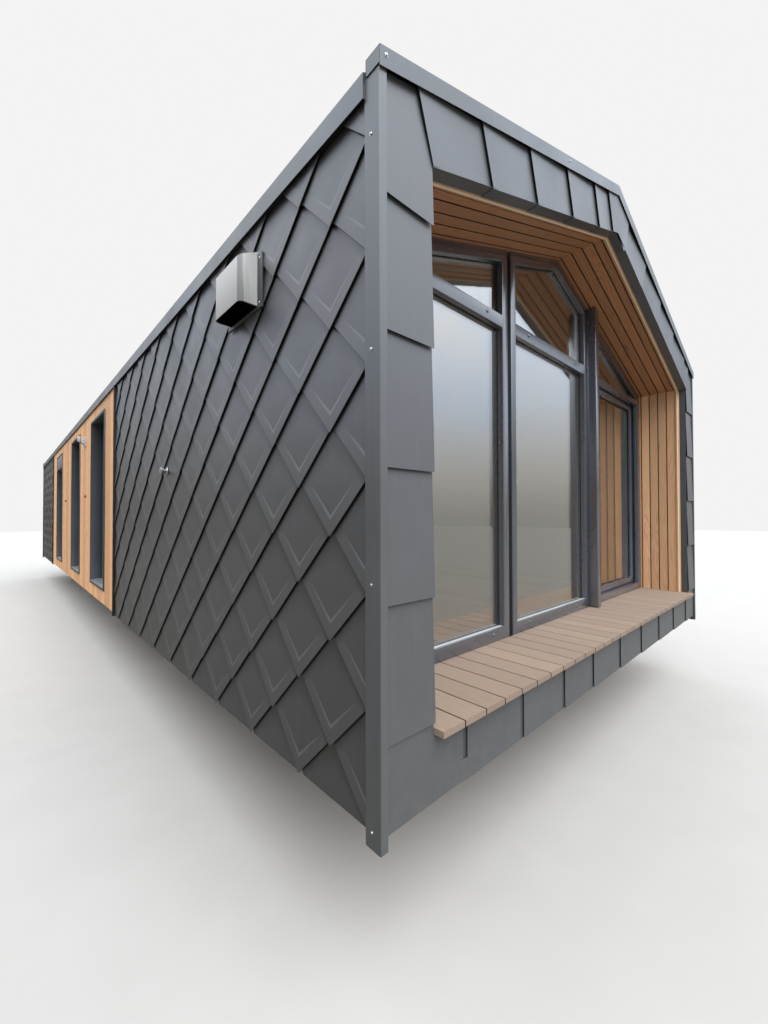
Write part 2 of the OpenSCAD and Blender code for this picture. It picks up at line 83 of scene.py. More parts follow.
@dataclass(frozen=True)
class House:
    """Main sizes of the house."""

    half_w: float = 2230.0
    length: float = 13870.0
    eave_h: float = 2533.0
    pitch: float = math.radians(18.9)
    wall_x: float = 2190.0
    inner_x: float = 1990.0
    open_x: float = 1960.0
    base_z: float = 550.0
    floor_z: float = 250.0
    deck_h: float = 310.0
    deck_t: float = 25.0
    deck_nose: float = 42.0
    glazing_y: float = 420.0
    lining_y: float = 100.0
    lining_end: float = 530.0
    band_h: float = 268.0
    soffit_drop: float = 258.0
    roof_t: float = 190.0
    fascia_z: float = 2477.0
    skirt_z: float = 43.0
    boards_z: float = 70.0
    boards_y: float = 4161.0
    boards_end: float = 10875.0
    window_w: float = 985.0
    window_z: float = 226.0
    window_top: float = 2342.0
    window_ys: tuple[float, ...] = (4726.0, 6726.0, 9122.0)

    @property
    def rise(self) -> float:
        """Rise of the roof for each unit across."""
        return math.tan(self.pitch)

    def verge(self, x: float, off: float = 0.0) -> float:
        """Height of the verge line at x, lifted by off."""
        return self.eave_h + (self.half_w - abs(x)) * self.rise + off

    def soffit(self, x: float, off: float = 0.0) -> float:
        """Height of the soffit's underside at x, lifted by off."""
        return self.verge(x, off - self.soffit_drop)


HOUSE = House()


def place(x: float, y: float, z: float) -> Vector:
    """Turns a point of the house's frame into metres in the model's frame."""
    return Vector((x, y - HOUSE.length / 2, z + HOUSE.base_z)) * MM


class Axis(Enum):
    """Direction in which a timber's grain runs on Object coordinates."""

    X = ("Y", "Z", "X")
    Y = ("Z", "X", "Y")
    Z = ("X", "Y", "Z")


class Tree:
    """Adds nodes to one node tree and joins them."""

    def __init__(self, tree: bpy.types.NodeTree) -> None:
        """Keeps the tree that the nodes go into."""
        self.tree = tree

    def node(self, kind: str, inputs: dict[Any, Any] | None = None, **settings: Any) -> bpy.types.Node:
        """Adds one node.

        Args:
            kind: the node's type name.
            inputs: values or sockets, by socket name or number.
            settings: the node's own properties.

        Returns:
            The new node.
        """
        node = self.tree.nodes.new(kind)
        for name, value in settings.items():
            setattr(node, name, value)
        for key, value in (inputs or {}).items():
            if isinstance(value, bpy.types.NodeSocket):
                self.tree.links.new(value, node.inputs[key])
            else:
                node.inputs[key].default_value = value
        return node

    def link(self, source: bpy.types.NodeSocket, target: bpy.types.NodeSocket) -> None:
        """Joins an output to an input."""
        self.tree.links.new(source, target)

    def math(self, operation: str, first: Any, second: Any = 0.0) -> bpy.types.NodeSocket:
        """Puts two values through one sum."""
        return self.node("ShaderNodeMath", {0: first, 1: second}, operation=operation).outputs[0]

    def vector(self, operation: str, first: Any, second: Any) -> bpy.types.NodeSocket:
        """Puts two vectors through one sum."""
        return self.node("ShaderNodeVectorMath", {0: first, 1: second}, operation=operation).outputs[0]

    def scaled(self, vector: Any, factor: Any) -> bpy.types.NodeSocket:
        """Scales a vector."""
        return self.node("ShaderNodeVectorMath", {0: vector, "Scale": factor}, operation="SCALE").outputs[0]

    def grey(self, level: Any) -> bpy.types.NodeSocket:
        """Gives a vector or grey with three equal parts."""
        return self.node("ShaderNodeCombineXYZ", {"X": level, "Y": level, "Z": level}).outputs[0]

    def part(self, vector: Any, label: str) -> bpy.types.NodeSocket:
        """Gives the X, Y or Z part of a vector."""
        return self.node("ShaderNodeSeparateXYZ", {0: vector}).outputs[label]

    def place(self) -> bpy.types.NodeSocket:
        """Gives the place on Object coordinates."""
        return self.node("ShaderNodeTexCoord").outputs["Object"]

    def attribute(self, name: str, output: str = "Fac") -> bpy.types.NodeSocket:
        """Reads one of the mesh's own attributes."""
        return self.node("ShaderNodeAttribute", attribute_name=name).outputs[output]

    def span(self, value: Any, low: float, high: float, to_low: float = 0.0, to_high: float = 1.0) -> Any:
        """Maps low..high to to_low..to_high, held at both ends."""
        inputs = {"Value": value, "From Min": low, "From Max": high, "To Min": to_low, "To Max": to_high}
        return self.node("ShaderNodeMapRange", inputs).outputs[0]

    def blend(self, share: Any, first: Any, second: Any, mode: str = "MIX") -> bpy.types.NodeSocket:
        """Mixes two colours by a share."""
        node = self.node("ShaderNodeMix", {0: share, 6: first, 7: second}, data_type="RGBA", blend_type=mode)
        return node.outputs[2]

    def noise(self, vector: Any, scale: float, detail: float = 2.0, roughness: float = 0.5) -> Any:
        """Adds a noise and gives its value."""
        inputs = {"Vector": vector, "Scale": scale, "Detail": detail, "Roughness": roughness}
        return self.node("ShaderNodeTexNoise", inputs).outputs[0]


def new_group(name: str, inputs: dict[str, Any], outputs: dict[str, str]) -> tuple[Tree, Any, Any]:
    """Starts a shader node group.

    Args:
        name: the group's name.
        inputs: each input's default, whose type gives the socket's.
        outputs: each output's kind: Color or Float.

    Returns:
        The tree, the outputs of its input node, and the inputs of its output node.
    """
    group = bpy.data.node_groups.new(name, "ShaderNodeTree")
    for label, value in inputs.items():
        if isinstance(value, float):
            kind = "NodeSocketFloat"
        else:
            kind = "NodeSocketColor" if len(value) == 4 else "NodeSocketVector"
        socket = group.interface.new_socket(label, in_out="INPUT", socket_type=kind)
        socket.default_value = value
    for label, kind in outputs.items():
        group.interface.new_socket(label, in_out="OUTPUT", socket_type=f"NodeSocket{kind}")
    tree = Tree(group)
    return tree, tree.node("NodeGroupInput").outputs, tree.node("NodeGroupOutput").inputs


class Effects:
    """Shader node groups that the finishes share, each built once."""

    def __init__(self) -> None:
        """Starts with no group built."""
        self.made: dict[str, bpy.types.NodeTree] = {}

    def group(self, name: str) -> bpy.types.NodeTree:
        """Gives a group by name and builds it on first use."""
        if name not in self.made:
            self.made[name] = getattr(self, f"make_{name}")()
        return self.made[name]

    def make_timber(self) -> bpy.types.NodeTree:
        """Builds wood figure along the third coordinate: fibres, soft rings and knots.

        Returns:
            The group, with Color, Height and Gloss.
        """
        inputs = {"Lay": (0.0, 0.0, 0.0), "Pale": (0.7, 0.5, 0.3, 1.0), "Dark": (0.4, 0.25, 0.12, 1.0),
                  "Tone": 0.5, "Rings": 1.0, "Knots": 0.0}
        outputs = {"Color": "Color", "Height": "Float", "Gloss": "Float"}
        tree, given, out = new_group("timber", inputs, outputs)
        shift = tree.vector("MULTIPLY", tree.grey(given["Tone"]), (7.3, 3.1, 41.0))
        lay = tree.vector("ADD", given["Lay"], shift)
        fibre = tree.noise(tree.vector("MULTIPLY", lay, (420.0, 420.0, 9.0)), 1.0, 3.0, 0.6)
        bend = tree.noise(tree.vector("MULTIPLY", lay, (7.0, 7.0, 1.1)), 1.0, 2.0)
        bent = tree.vector("ADD", tree.vector("MULTIPLY", lay, (16.0, 16.0, 0.5)), tree.node(
            "ShaderNodeCombineXYZ", {"X": tree.math("MULTIPLY", bend, 4.5)}).outputs[0])
        wave = tree.node("ShaderNodeTexWave", {
            "Vector": bent, "Scale": 1.1, "Distortion": 2.2, "Detail": 2.0, "Detail Scale": 0.8},
            bands_direction="X").outputs["Fac"]
        ring = tree.span(wave, 0.45, 1.0)
        cells = tree.node("ShaderNodeTexVoronoi", {
            "Vector": tree.vector("MULTIPLY", lay, (6.0, 6.0, 2.3)), "Scale": 1.0,
            "Randomness": 1.0}).outputs["Distance"]
        knot = tree.math("MULTIPLY", tree.span(cells, 0.075, 0.03), given["Knots"])
        halo = tree.math("MULTIPLY", tree.span(cells, 0.2, 0.05), given["Knots"])
        figure = tree.math("ADD", tree.math("MULTIPLY", ring, given["Rings"]),
                           tree.math("MULTIPLY", tree.math("SUBTRACT", fibre, 0.5), 0.8))
        figure = tree.math("ADD", figure, tree.math("MULTIPLY", halo, 0.45))
        share = tree.node("ShaderNodeMath", {0: figure, 1: 0.0}, operation="ADD", use_clamp=True).outputs[0]
        colour = tree.blend(share, given["Pale"], given["Dark"])
        lift = tree.span(given["Tone"], 0.0, 1.0, 0.84, 1.14)
        colour = tree.blend(1.0, colour, tree.grey(lift), "MULTIPLY")
        colour = tree.blend(tree.math("MULTIPLY", knot, 0.8), colour, (0.07, 0.03, 0.015, 1.0))
        tree.link(colour, out["Color"])
        tree.link(tree.math("SUBTRACT", fibre, tree.math("MULTIPLY", ring, 0.35)), out["Height"])
        tree.link(tree.math("MULTIPLY", tree.math("SUBTRACT", fibre, 0.5), 0.25), out["Gloss"])
        return tree.tree

    def make_coat(self) -> bpy.types.NodeTree:
        """Builds the life of a coated metal: mottling, rain streaks, dust, painted shade towards the foot,
        painted shade and highlight from the shade attribute, and a fine peel.

        Returns:
            The group, with Color, Height and Gloss.
        """
        inputs = {"Vector": (0.0, 0.0, 0.0), "Colour": (0.1, 0.1, 0.1, 1.0), "Tone": 0.5, "Mottle": 0.1,
                  "Streaks": 0.1, "Dust": 0.1, "Soil": 0.0, "Vary": 0.1, "Grime": 0.0}
        outputs = {"Color": "Color", "Height": "Float", "Gloss": "Float"}
        tree, given, out = new_group("coat", inputs, outputs)
        spot = given["Vector"]
        cloud = tree.math("SUBTRACT", tree.noise(spot, 2.2, 4.0, 0.6), 0.5)
        rain = tree.noise(tree.vector("MULTIPLY", spot, (46.0, 46.0, 1.6)), 1.0, 3.0, 0.6)
        rain = tree.span(rain, 0.52, 0.78)
        height = tree.part(spot, "Z")
        low = tree.span(height, 1.15, 0.5)
        splash = tree.math("MULTIPLY", low, tree.span(tree.noise(spot, 19.0, 5.0, 0.7), 0.4, 0.75))
        level = tree.math("ADD", 1.0, tree.math("MULTIPLY", cloud, given["Mottle"]))
        tone = tree.math("MULTIPLY", tree.math("SUBTRACT", given["Tone"], 0.5), given["Vary"])
        level = tree.math("ADD", level, tone)
        # Painted shade: the colour is darkened towards the foot, from 2.4 m down to 0.3 m.
        foot_shaded = tree.math("MULTIPLY", tree.span(height, 2.4, 0.3), given["Soil"])
        level = tree.math("MULTIPLY", level, tree.math("SUBTRACT", 1.0, foot_shaded))
        colour = tree.blend(1.0, given["Colour"], tree.grey(level), "MULTIPLY")
        colour = tree.blend(tree.math("MULTIPLY", rain, given["Streaks"]), colour, (0.34, 0.33, 0.31, 1.0))
        colour = tree.blend(tree.math("MULTIPLY", splash, given["Dust"]), colour, (0.36, 0.32, 0.26, 1.0))
        # Painted light from the mesh's shade attribute: below 0 paints a pale highlight, above 0 paints
        # near-black shade.
        colour = tree.blend(tree.span(given["Grime"], 0.0, -1.0), colour, (0.5, 0.5, 0.5, 1.0))
        colour = tree.blend(tree.span(given["Grime"], 0.0, 1.0), colour, (0.006, 0.006, 0.006, 1.0))
        tree.link(colour, out["Color"])
        tree.link(tree.noise(spot, 950.0, 1.0), out["Height"])
        tree.link(tree.math("MULTIPLY", cloud, 0.35), out["Gloss"])
        return tree.tree

    def make_mineral(self) -> bpy.types.NodeTree:
        """Builds cast concrete: sand grain, pores and damp patches.

        Returns:
            The group, with Color and Height.
        """
        inputs = {"Vector": (0.0, 0.0, 0.0), "Colour": (0.5, 0.5, 0.5, 1.0)}
        tree, given, out = new_group("mineral", inputs, {"Color": "Color", "Height": "Float"})
        sand = tree.noise(given["Vector"], 160.0, 4.0, 0.7)
        patch = tree.noise(given["Vector"], 5.0, 4.0, 0.6)
        pores = tree.node("ShaderNodeTexVoronoi", {"Vector": given["Vector"], "Scale": 55.0})
        pit = tree.span(pores.outputs["Distance"], 0.12, 0.05)
        shade = tree.math("ADD", tree.span(patch, 0.3, 0.75, 0.72, 1.1),
                          tree.math("MULTIPLY", tree.math("SUBTRACT", sand, 0.5), 0.35))
        colour = tree.blend(1.0, given["Colour"], tree.grey(shade), "MULTIPLY")
        colour = tree.blend(tree.math("MULTIPLY", pit, 0.6), colour, (0.12, 0.11, 0.1, 1.0))
        tree.link(colour, out["Color"])
        tree.link(tree.math("SUBTRACT", sand, pit), out["Height"])
        return tree.tree


EFFECTS = Effects()


def start_material(name: str) -> tuple[bpy.types.Material, Tree, bpy.types.Node]:
    """Starts a material.

    Args:
        name: the material's name.

    Returns:
        The material, its tree and its principled shader.
    """
    material = bpy.data.materials.new(name)
    material.use_nodes = True
    tree = Tree(material.node_tree)
    return material, tree, material.node_tree.nodes["Principled BSDF"]


def bump_into(tree: Tree, shader: bpy.types.Node, height: Any, strength: float, distance: float) -> None:
    """Feeds a height into the shader's normal, with the relief in metres."""
    bump = tree.node("ShaderNodeBump", {"Height": height, "Strength": strength, "Distance": distance})
    tree.link(bump.outputs[0], shader.inputs["Normal"])


def set_sockets(shader: bpy.types.Node, values: dict[str, Any]) -> None:
    """Sets values on the shader's own sockets."""
    for label, value in values.items():
        shader.inputs[label].default_value = value


def finish_with(tree: Tree, shader: bpy.types.Node, colour: Any, gloss: Any, roughness: float) -> None:
    """Feeds a colour, and a gloss about the finish's mean roughness, into the shader."""
    tree.link(colour, shader.inputs["Base Color"])
    tree.link(tree.math("ADD", gloss, roughness), shader.inputs["Roughness"])


@dataclass(frozen=True)
class Timber:
    """Finish of boards and other timber."""

    name: str
    pale: Colour
    dark: Colour
    roughness: float = 0.6
    rings: float = 0.35
    knots: float = 0.0
    # Colour of the painted shade on groove and gap walls.
    groove: Colour = (0.012, 0.008, 0.006)
    axis: Axis | None = None
    relief: float = 0.0006
    ribs: float = 0.0
    vary: float = 1.0

    def build(self) -> bpy.types.Material:
        """Builds the material, on the boards' own lay or on Object coordinates."""
        material, tree, shader = start_material(self.name)
        if self.axis is None:
            lay = tree.attribute("lay", "Vector")
        else:
            spot = tree.place()
            order = {label: tree.part(spot, part) for label, part in zip("XYZ", self.axis.value)}
            lay = tree.node("ShaderNodeCombineXYZ", order).outputs[0]
        tone = tree.math("ADD", tree.math("MULTIPLY", tree.attribute("tone"), self.vary), (1 - self.vary) / 2)
        figure = tree.node("ShaderNodeGroup", {
            "Lay": lay, "Tone": tone, "Pale": (*self.pale, 1.0), "Dark": (*self.dark, 1.0),
            "Rings": self.rings, "Knots": self.knots}, node_tree=EFFECTS.group("timber")).outputs
        # Painted shade: the shade attribute darkens groove and gap walls towards the groove colour.
        colour = tree.blend(tree.attribute("shade"), figure["Color"], (*self.groove, 1.0))
        finish_with(tree, shader, colour, figure["Gloss"], self.roughness)
        height = figure["Height"]
        if self.ribs:
            turns = 2 * math.pi / (self.ribs * MM)
            wave = tree.math("SINE", tree.math("MULTIPLY", tree.part(lay, "X"), turns))
            height = tree.math("ADD", tree.math("MULTIPLY", height, 0.4), tree.span(wave, -0.9, 0.3))
        bump_into(tree, shader, height, 0.5, self.relief)
        return material


@dataclass(frozen=True)
class Coat:
    """Finish of coated or bare metal."""

    name: str
    colour: Colour
    roughness: float = 0.45
    metallic: float = 0.0
    mottle: float = 0.25
    streaks: float = 0.05
    dust: float = 0.12
    # How much the colour is painted darker towards the foot, as shade.
    foot_shade: float = 0.0
    vary: float = 0.0
    relief: float = 0.00004
    sheen: float = 0.5
    lacquer: float = 0.0

    def build(self) -> bpy.types.Material:
        """Builds the material on Object coordinates."""
        material, tree, shader = start_material(self.name)
        inputs = {"Vector": tree.place(), "Colour": (*self.colour, 1.0), "Mottle": self.mottle,
                  "Vary": self.vary, "Streaks": self.streaks, "Dust": self.dust, "Soil": self.foot_shade}
        # The shade attribute carries painted shade and painted highlight into the coat.
        if self.vary:
            inputs.update(Tone=tree.attribute("tone"), Grime=tree.attribute("shade"))
        coat = tree.node("ShaderNodeGroup", inputs, node_tree=EFFECTS.group("coat")).outputs
        set_sockets(shader, {"Metallic": self.metallic, "Specular IOR Level": self.sheen})
        if self.lacquer:
            set_sockets(shader, {
                "Coat Weight": 1.0, "Coat IOR": self.lacquer, "Coat Roughness": self.roughness})
        finish_with(tree, shader, coat["Color"], coat["Gloss"], self.roughness)
        bump_into(tree, shader, coat["Height"], 0.35, self.relief)
        return material


@dataclass(frozen=True)
class Mineral:
    """Finish of cast concrete."""

    name: str
    colour: Colour
    roughness: float = 0.92
    relief: float = 0.0015

    def build(self) -> bpy.types.Material:
        """Builds the material on Object coordinates."""
        material, tree, shader = start_material(self.name)
        stone = tree.node("ShaderNodeGroup", {"Vector": tree.place(), "Colour": (*self.colour, 1.0)},
                          node_tree=EFFECTS.group("mineral")).outputs
        tree.link(stone["Color"], shader.inputs["Base Color"])
        set_sockets(shader, {"Roughness": self.roughness})
        bump_into(tree, shader, stone["Height"], 0.6, self.relief)
        return material


@dataclass(frozen=True)
class Pane:
    """Finish of insulating glass."""

    name: str
    tint: Colour
    roughness: float = 0.01
    ior: float = 1.52
    coating: float = 3.4

    def build(self) -> bpy.types.Material:
        """Builds the material, with faint rain marks in its roughness."""
        material, tree, shader = start_material(self.name)
        spots = tree.noise(tree.place(), 14.0, 5.0, 0.7)
        marks = tree.span(spots, 0.5, 0.85, self.roughness, self.roughness + 0.03)
        tree.link(marks, shader.inputs["Roughness"])
        set_sockets(shader, {
            "Base Color": (*self.tint, 1.0), "Transmission Weight": 1.0, "IOR": self.ior,
            "Specular IOR Level": 1.0, "Coat Weight": 1.0, "Coat Roughness": self.roughness,
            "Coat IOR": self.coating})
        return material


class Finishes:
    """Every finish of the house, built on first use."""

    def __init__(self) -> None:
        """Lists the finishes."""
        listed = (
            Coat("metal_tiles", srgb(70, 72, 76), roughness=0.42, vary=0.12, streaks=0.03, dust=0.0,
                 foot_shade=0.42, sheen=0.85),
            Coat("metal_trim", srgb(80, 84, 88), roughness=0.36, dust=0.05, foot_shade=0.2, sheen=0.8),
            Coat("metal_flange", srgb(94, 97, 101), roughness=0.34, dust=0.05, sheen=1.0),
            Coat("metal_sheet", srgb(92, 95, 100), roughness=0.42, vary=0.1, sheen=0.8),
            Coat("window_frame", srgb(54, 63, 77), roughness=0.26, streaks=0.02, dust=0.0, sheen=0.9,
                 lacquer=2.05),
            Coat("lining_metal", srgb(58, 63, 69), roughness=0.42),
            Coat("ledge_metal", srgb(190, 191, 192), roughness=0.35, streaks=0.0),
            Coat("sill_metal", srgb(118, 122, 128), roughness=0.4),
            Coat("blind_metal", srgb(128, 124, 132), roughness=0.5),
            Coat("hood_metal", srgb(190, 191, 192), roughness=0.4, streaks=0.22),
            Coat("hood_bend", srgb(140, 141, 143), roughness=0.35),
            Coat("hood_flange", srgb(74, 78, 82), roughness=0.4),
            Coat("hood_inside", srgb(40, 40, 41), roughness=0.6),
            Coat("lamp_dark", srgb(44, 45, 48), roughness=0.4),
            Coat("bare_steel", srgb(190, 190, 188), roughness=0.3, metallic=1.0, streaks=0.0, dust=0.0),
            Coat("bronze", srgb(150, 104, 58), roughness=0.35, metallic=0.8, streaks=0.0),
            Coat("frame_steel", srgb(60, 61, 63), roughness=0.6, streaks=0.08, dust=0.3, relief=0.0001),
            Coat("white_lining", srgb(198, 190, 176), roughness=0.7, streaks=0.0, dust=0.0, mottle=0.06),
            Coat("gasket", srgb(26, 27, 29), roughness=0.65, streaks=0.0, dust=0.0),
            Timber("light_boards", srgb(248, 194, 144), srgb(198, 134, 88), roughness=0.55, rings=0.5,
                   knots=1.0, vary=1.5),
            # Painted shade: the soffit's boards are a darker copy of the reveals' wood.
            Timber("soffit_wood", srgb(189, 135, 95), srgb(132, 87, 57), roughness=0.5, knots=0.5),
            Timber("reveal_wood", srgb(236, 187, 144), srgb(187, 134, 96), roughness=0.5, knots=0.5),
            # Painted highlight: the pale bead along the strip's crest.
            Timber("pale_strip", srgb(255, 240, 218), srgb(250, 228, 200), roughness=0.5, rings=0.2,
                   axis=Axis.Z),
            Timber("strip_wood", srgb(226, 178, 134), srgb(206, 156, 112), roughness=0.5, rings=0.2,
                   axis=Axis.Z),
            Timber("decking", srgb(156, 138, 123), srgb(130, 111, 97), roughness=0.75, rings=0.2, ribs=5.2,
                   vary=0.45, relief=0.001),
            Timber("shadow_wood", srgb(60, 42, 32), srgb(40, 28, 22), roughness=0.8, axis=Axis.Y),
            Timber("floor_core", srgb(200, 168, 122), srgb(160, 122, 80), roughness=0.8, axis=Axis.Y),
            Timber("floor_wood", srgb(190, 150, 108), srgb(150, 106, 68), roughness=0.45),
            Mineral("concrete", srgb(168, 165, 160)),
            Pane("glass", (0.93, 0.97, 0.96)),
        )
        self.listed = {finish.name: finish for finish in listed}
        self.made: dict[str, bpy.types.Material] = {}

    def get(self, name: str) -> bpy.types.Material:
        """Gives a finish's material by name."""
        if name not in self.made:
            self.made[name] = self.listed[name].build()
        return self.made[name]


FINISHES = Finishes()


@contextmanager
def edited(mesh: bpy.types.Mesh) -> Iterator[bmesh.types.BMesh]:
    """Opens a mesh for editing and puts the result back."""
    bm = bmesh.new()
    bm.from_mesh(mesh)
    yield bm
    bm.to_mesh(mesh)
    bm.free()


def round_edges(bm: bmesh.types.BMesh, width: float) -> None:
    """Rounds the sharp edges by a width in millimetres."""
    sharp = [edge for edge in bm.edges if len(edge.link_faces) == 2 and edge.calc_face_angle(0.0) > SHARP]
    bmesh.ops.bevel(bm, geom=sharp, offset=width * MM, segments=2, profile=0.5, affect="EDGES",
                    clamp_overlap=True)


def sleeve(count: int) -> list[tuple[int, ...]]:
    """Gives the faces between two outlines of count corners each, with the two ends first."""
    faces = [tuple(range(count)), tuple(range(2 * count - 1, count - 1, -1))]
    return faces + [(i, i + count, (i + 1) % count + count, (i + 1) % count) for i in range(count)]


class Solids:
    """Collects closed solids in one mesh, in metres in the model's frame."""

    def __init__(self, pattern: bool = False) -> None:
        """Starts an empty mesh with the layers that the finishes read.

        Args:
            pattern: whether the mesh is laid by a Repeater, which gives each copy its own tone.
        """
        self.bm = bmesh.new()
        self.tone = None if pattern else self.bm.verts.layers.float.new("tone")
        self.lay = self.bm.verts.layers.float_vector.new("lay")
        self.shade = self.bm.loops.layers.float.new("shade")
        self.slots: list[str] = []

    def slot_of(self, finish: str) -> int:
        """Gives the number of a finish's material slot."""
        if finish not in self.slots:
            self.slots.append(finish)
        return self.slots.index(finish)

    def shell(self, points: Sequence[Vector], faces: Iterable[Sequence[int]], finish: str, tone: float = 0.5,
              lays: Sequence[Vector] = (), shades: Sequence[float] = ()) -> list[bmesh.types.BMFace]:
        """Adds one closed solid from points and faces.

        Args:
            points: the corners, in metres.
            faces: corner numbers of each face, outwards.
            finish: the finish's name.
            tone: the solid's own tone, 0 to 1.
            lays: each corner's place in the timber.
            shades: how dark each corner is painted, as shade, 0 to 1.

        Returns:
            The new faces.
        """
        verts = [self.bm.verts.new(point) for point in points]
        for number, vert in enumerate(verts):
            if self.tone is not None:
                vert[self.tone] = tone
            if lays:
                vert[self.lay] = lays[number]
        slot = self.slot_of(finish)
        made = []
        for corners in faces:
            face = self.bm.faces.new([verts[corner] for corner in corners])
            face.material_index = slot
            if shades:
                for loop, corner in zip(face.loops, corners):
                    loop[self.shade] = shades[corner]
            made.append(face)
        return made

    def prism(self, near: Sequence[Vector], far: Sequence[Vector], finish: str, tone: float = 0.5) -> None:
        """Adds a closed solid between two outlines with as many corners."""
        made = self.shell([*near, *far], sleeve(len(near)), finish, tone)
        bmesh.ops.recalc_face_normals(self.bm, faces=made)

    def box(self, low: Sequence[float], high: Sequence[float], finish: str, tone: float = 0.5) -> None:
        """Adds a box between two corners of the house's frame, in millimetres."""
        (x0, y0, z0), (x1, y1, z1) = low, high
        ring = ((x0, y0), (x1, y0), (x1, y1), (x0, y1))
        self.prism([place(x, y, z0) for x, y in ring], [place(x, y, z1) for x, y in ring], finish, tone)

    def side_box(self, side: int, depth: Point2, ys: Point2, zs: Point2, finish: str) -> None:
        """Adds a box on one long side, between two distances from the middle."""
        near, far = sorted((side * depth[0], side * depth[1]))
        self.box((near, ys[0], zs[0]), (far, ys[1], zs[1]), finish)

    def facade(self, outline: Sequence[Point2], y0: float, y1: float, finish: str, tone: float = 0.5) -> None:
        """Adds an X-Z outline with its thickness along Y."""
        self.prism([place(x, y0, z) for x, z in outline], [place(x, y1, z) for x, z in outline], finish, tone)

    def lathe(self, foot: Vector, axis: Vector, steps: Sequence[Point2], finish: str,
              sides: int = 24) -> None:
        """Adds a turned solid.

        Args:
            foot: where the axis starts, in metres.
            axis: the axis' direction.
            steps: height and radius of each ring, in millimetres.
            finish: the finish's name.
            sides: facets round it.
        """
        turn = Z_WAY.rotation_difference(axis.normalized()).to_matrix()
        points = []
        for height, radius in steps:
            for i in range(sides):
                angle = 2 * math.pi * i / sides
                arm = Vector((radius * math.cos(angle), radius * math.sin(angle), height)) * MM
                points.append(foot + turn @ arm)
        faces = [tuple(range(sides - 1, -1, -1)), tuple(range((len(steps) - 1) * sides, len(steps) * sides))]
        for low in range(0, (len(steps) - 1) * sides, sides):
            high = low + sides
            for i in range(sides):
                after = (i + 1) % sides
                faces.append((low + i, low + after, high + after, high + i))
        self.shell(points, faces, finish)

    def mesh(self, name: str, smooth: float | None = 40.0) -> bpy.types.Mesh:
        """Turns the solids into a mesh.

        Args:
            name: the mesh's name.
            smooth: edges flatter than this angle are shaded smooth.

        Returns:
            The mesh with its materials.
        """
        mesh = self.pattern(name)
        for finish in self.slots:
            mesh.materials.append(FINISHES.get(finish))
        if smooth is not None:
            mesh.shade_smooth()
            mesh.set_sharp_from_angle(angle=math.radians(smooth))
        return mesh

    def pattern(self, name: str) -> bpy.types.Mesh:
        """Turns the solids into a mesh without materials, such as a pattern piece."""
        mesh = bpy.data.meshes.new(name)
        self.bm.to_mesh(mesh)
        self.bm.free()
        return mesh

    def publish(self, name: str, slot: str, replaced: Sequence[str] = (), smooth: float | None = 40.0,
                body: str = "house") -> None:
        """Makes the solids a piece of the object."""
        publish(name, self.mesh(name, smooth), replaced, body)


def publish(name: str, mesh: bpy.types.Mesh, replaced: Sequence[str] = (),
            body: str = "house") -> bpy.types.Object:
    """Makes a mesh a piece of the object.

    Args:
        name: the piece's name.
        mesh: its mesh, already in place.
        replaced: the CAD nodes that it stands for.
        body: the body it rides on.

    Returns:
        The new object.
    """
    piece = bpy.data.objects.new(name, mesh)
    bpy.context.scene.collection.objects.link(piece)
    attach(piece, body)
    if replaced:
        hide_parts(*replaced)
    LOG.info("%s: %d faces on %s", name, len(mesh.polygons), body)
    return piece


def softened(node: str, finish: str, width: float = 1.5, body: str = "house") -> bpy.types.Object:
    """Replaces a CAD node by a copy of it with rounded edges.

    Args:
        node: the node's name.
        finish: the finish's name.
        width: how much its edges are rounded.
        body: the body it rides on.

    Returns:
        The new object.
    """
    mesh = bpy.data.objects[node].data.copy()
    mesh.name = f"{node}_soft"
    with edited(mesh) as bm:
        bmesh.ops.remove_doubles(bm, verts=bm.verts, dist=0.00002)
        bmesh.ops.dissolve_limit(bm, angle_limit=math.radians(0.5), verts=bm.verts, edges=bm.edges)
        round_edges(bm, width)
    mesh.materials.clear()
    mesh.materials.append(FINISHES.get(finish))
    mesh.shade_smooth()
    mesh.set_sharp_from_angle(angle=math.radians(40))
    return publish(f"{node}_finished", mesh, (node,), body)


def dress(node: str, finish: str) -> None:
    """Gives a CAD node that keeps its shape a finish."""
    data = bpy.data.objects[node].data
    data.materials.clear()
    data.materials.append(FINISHES.get(finish))
    LOG.info("%s: shape kept, finish %s", node, finish)


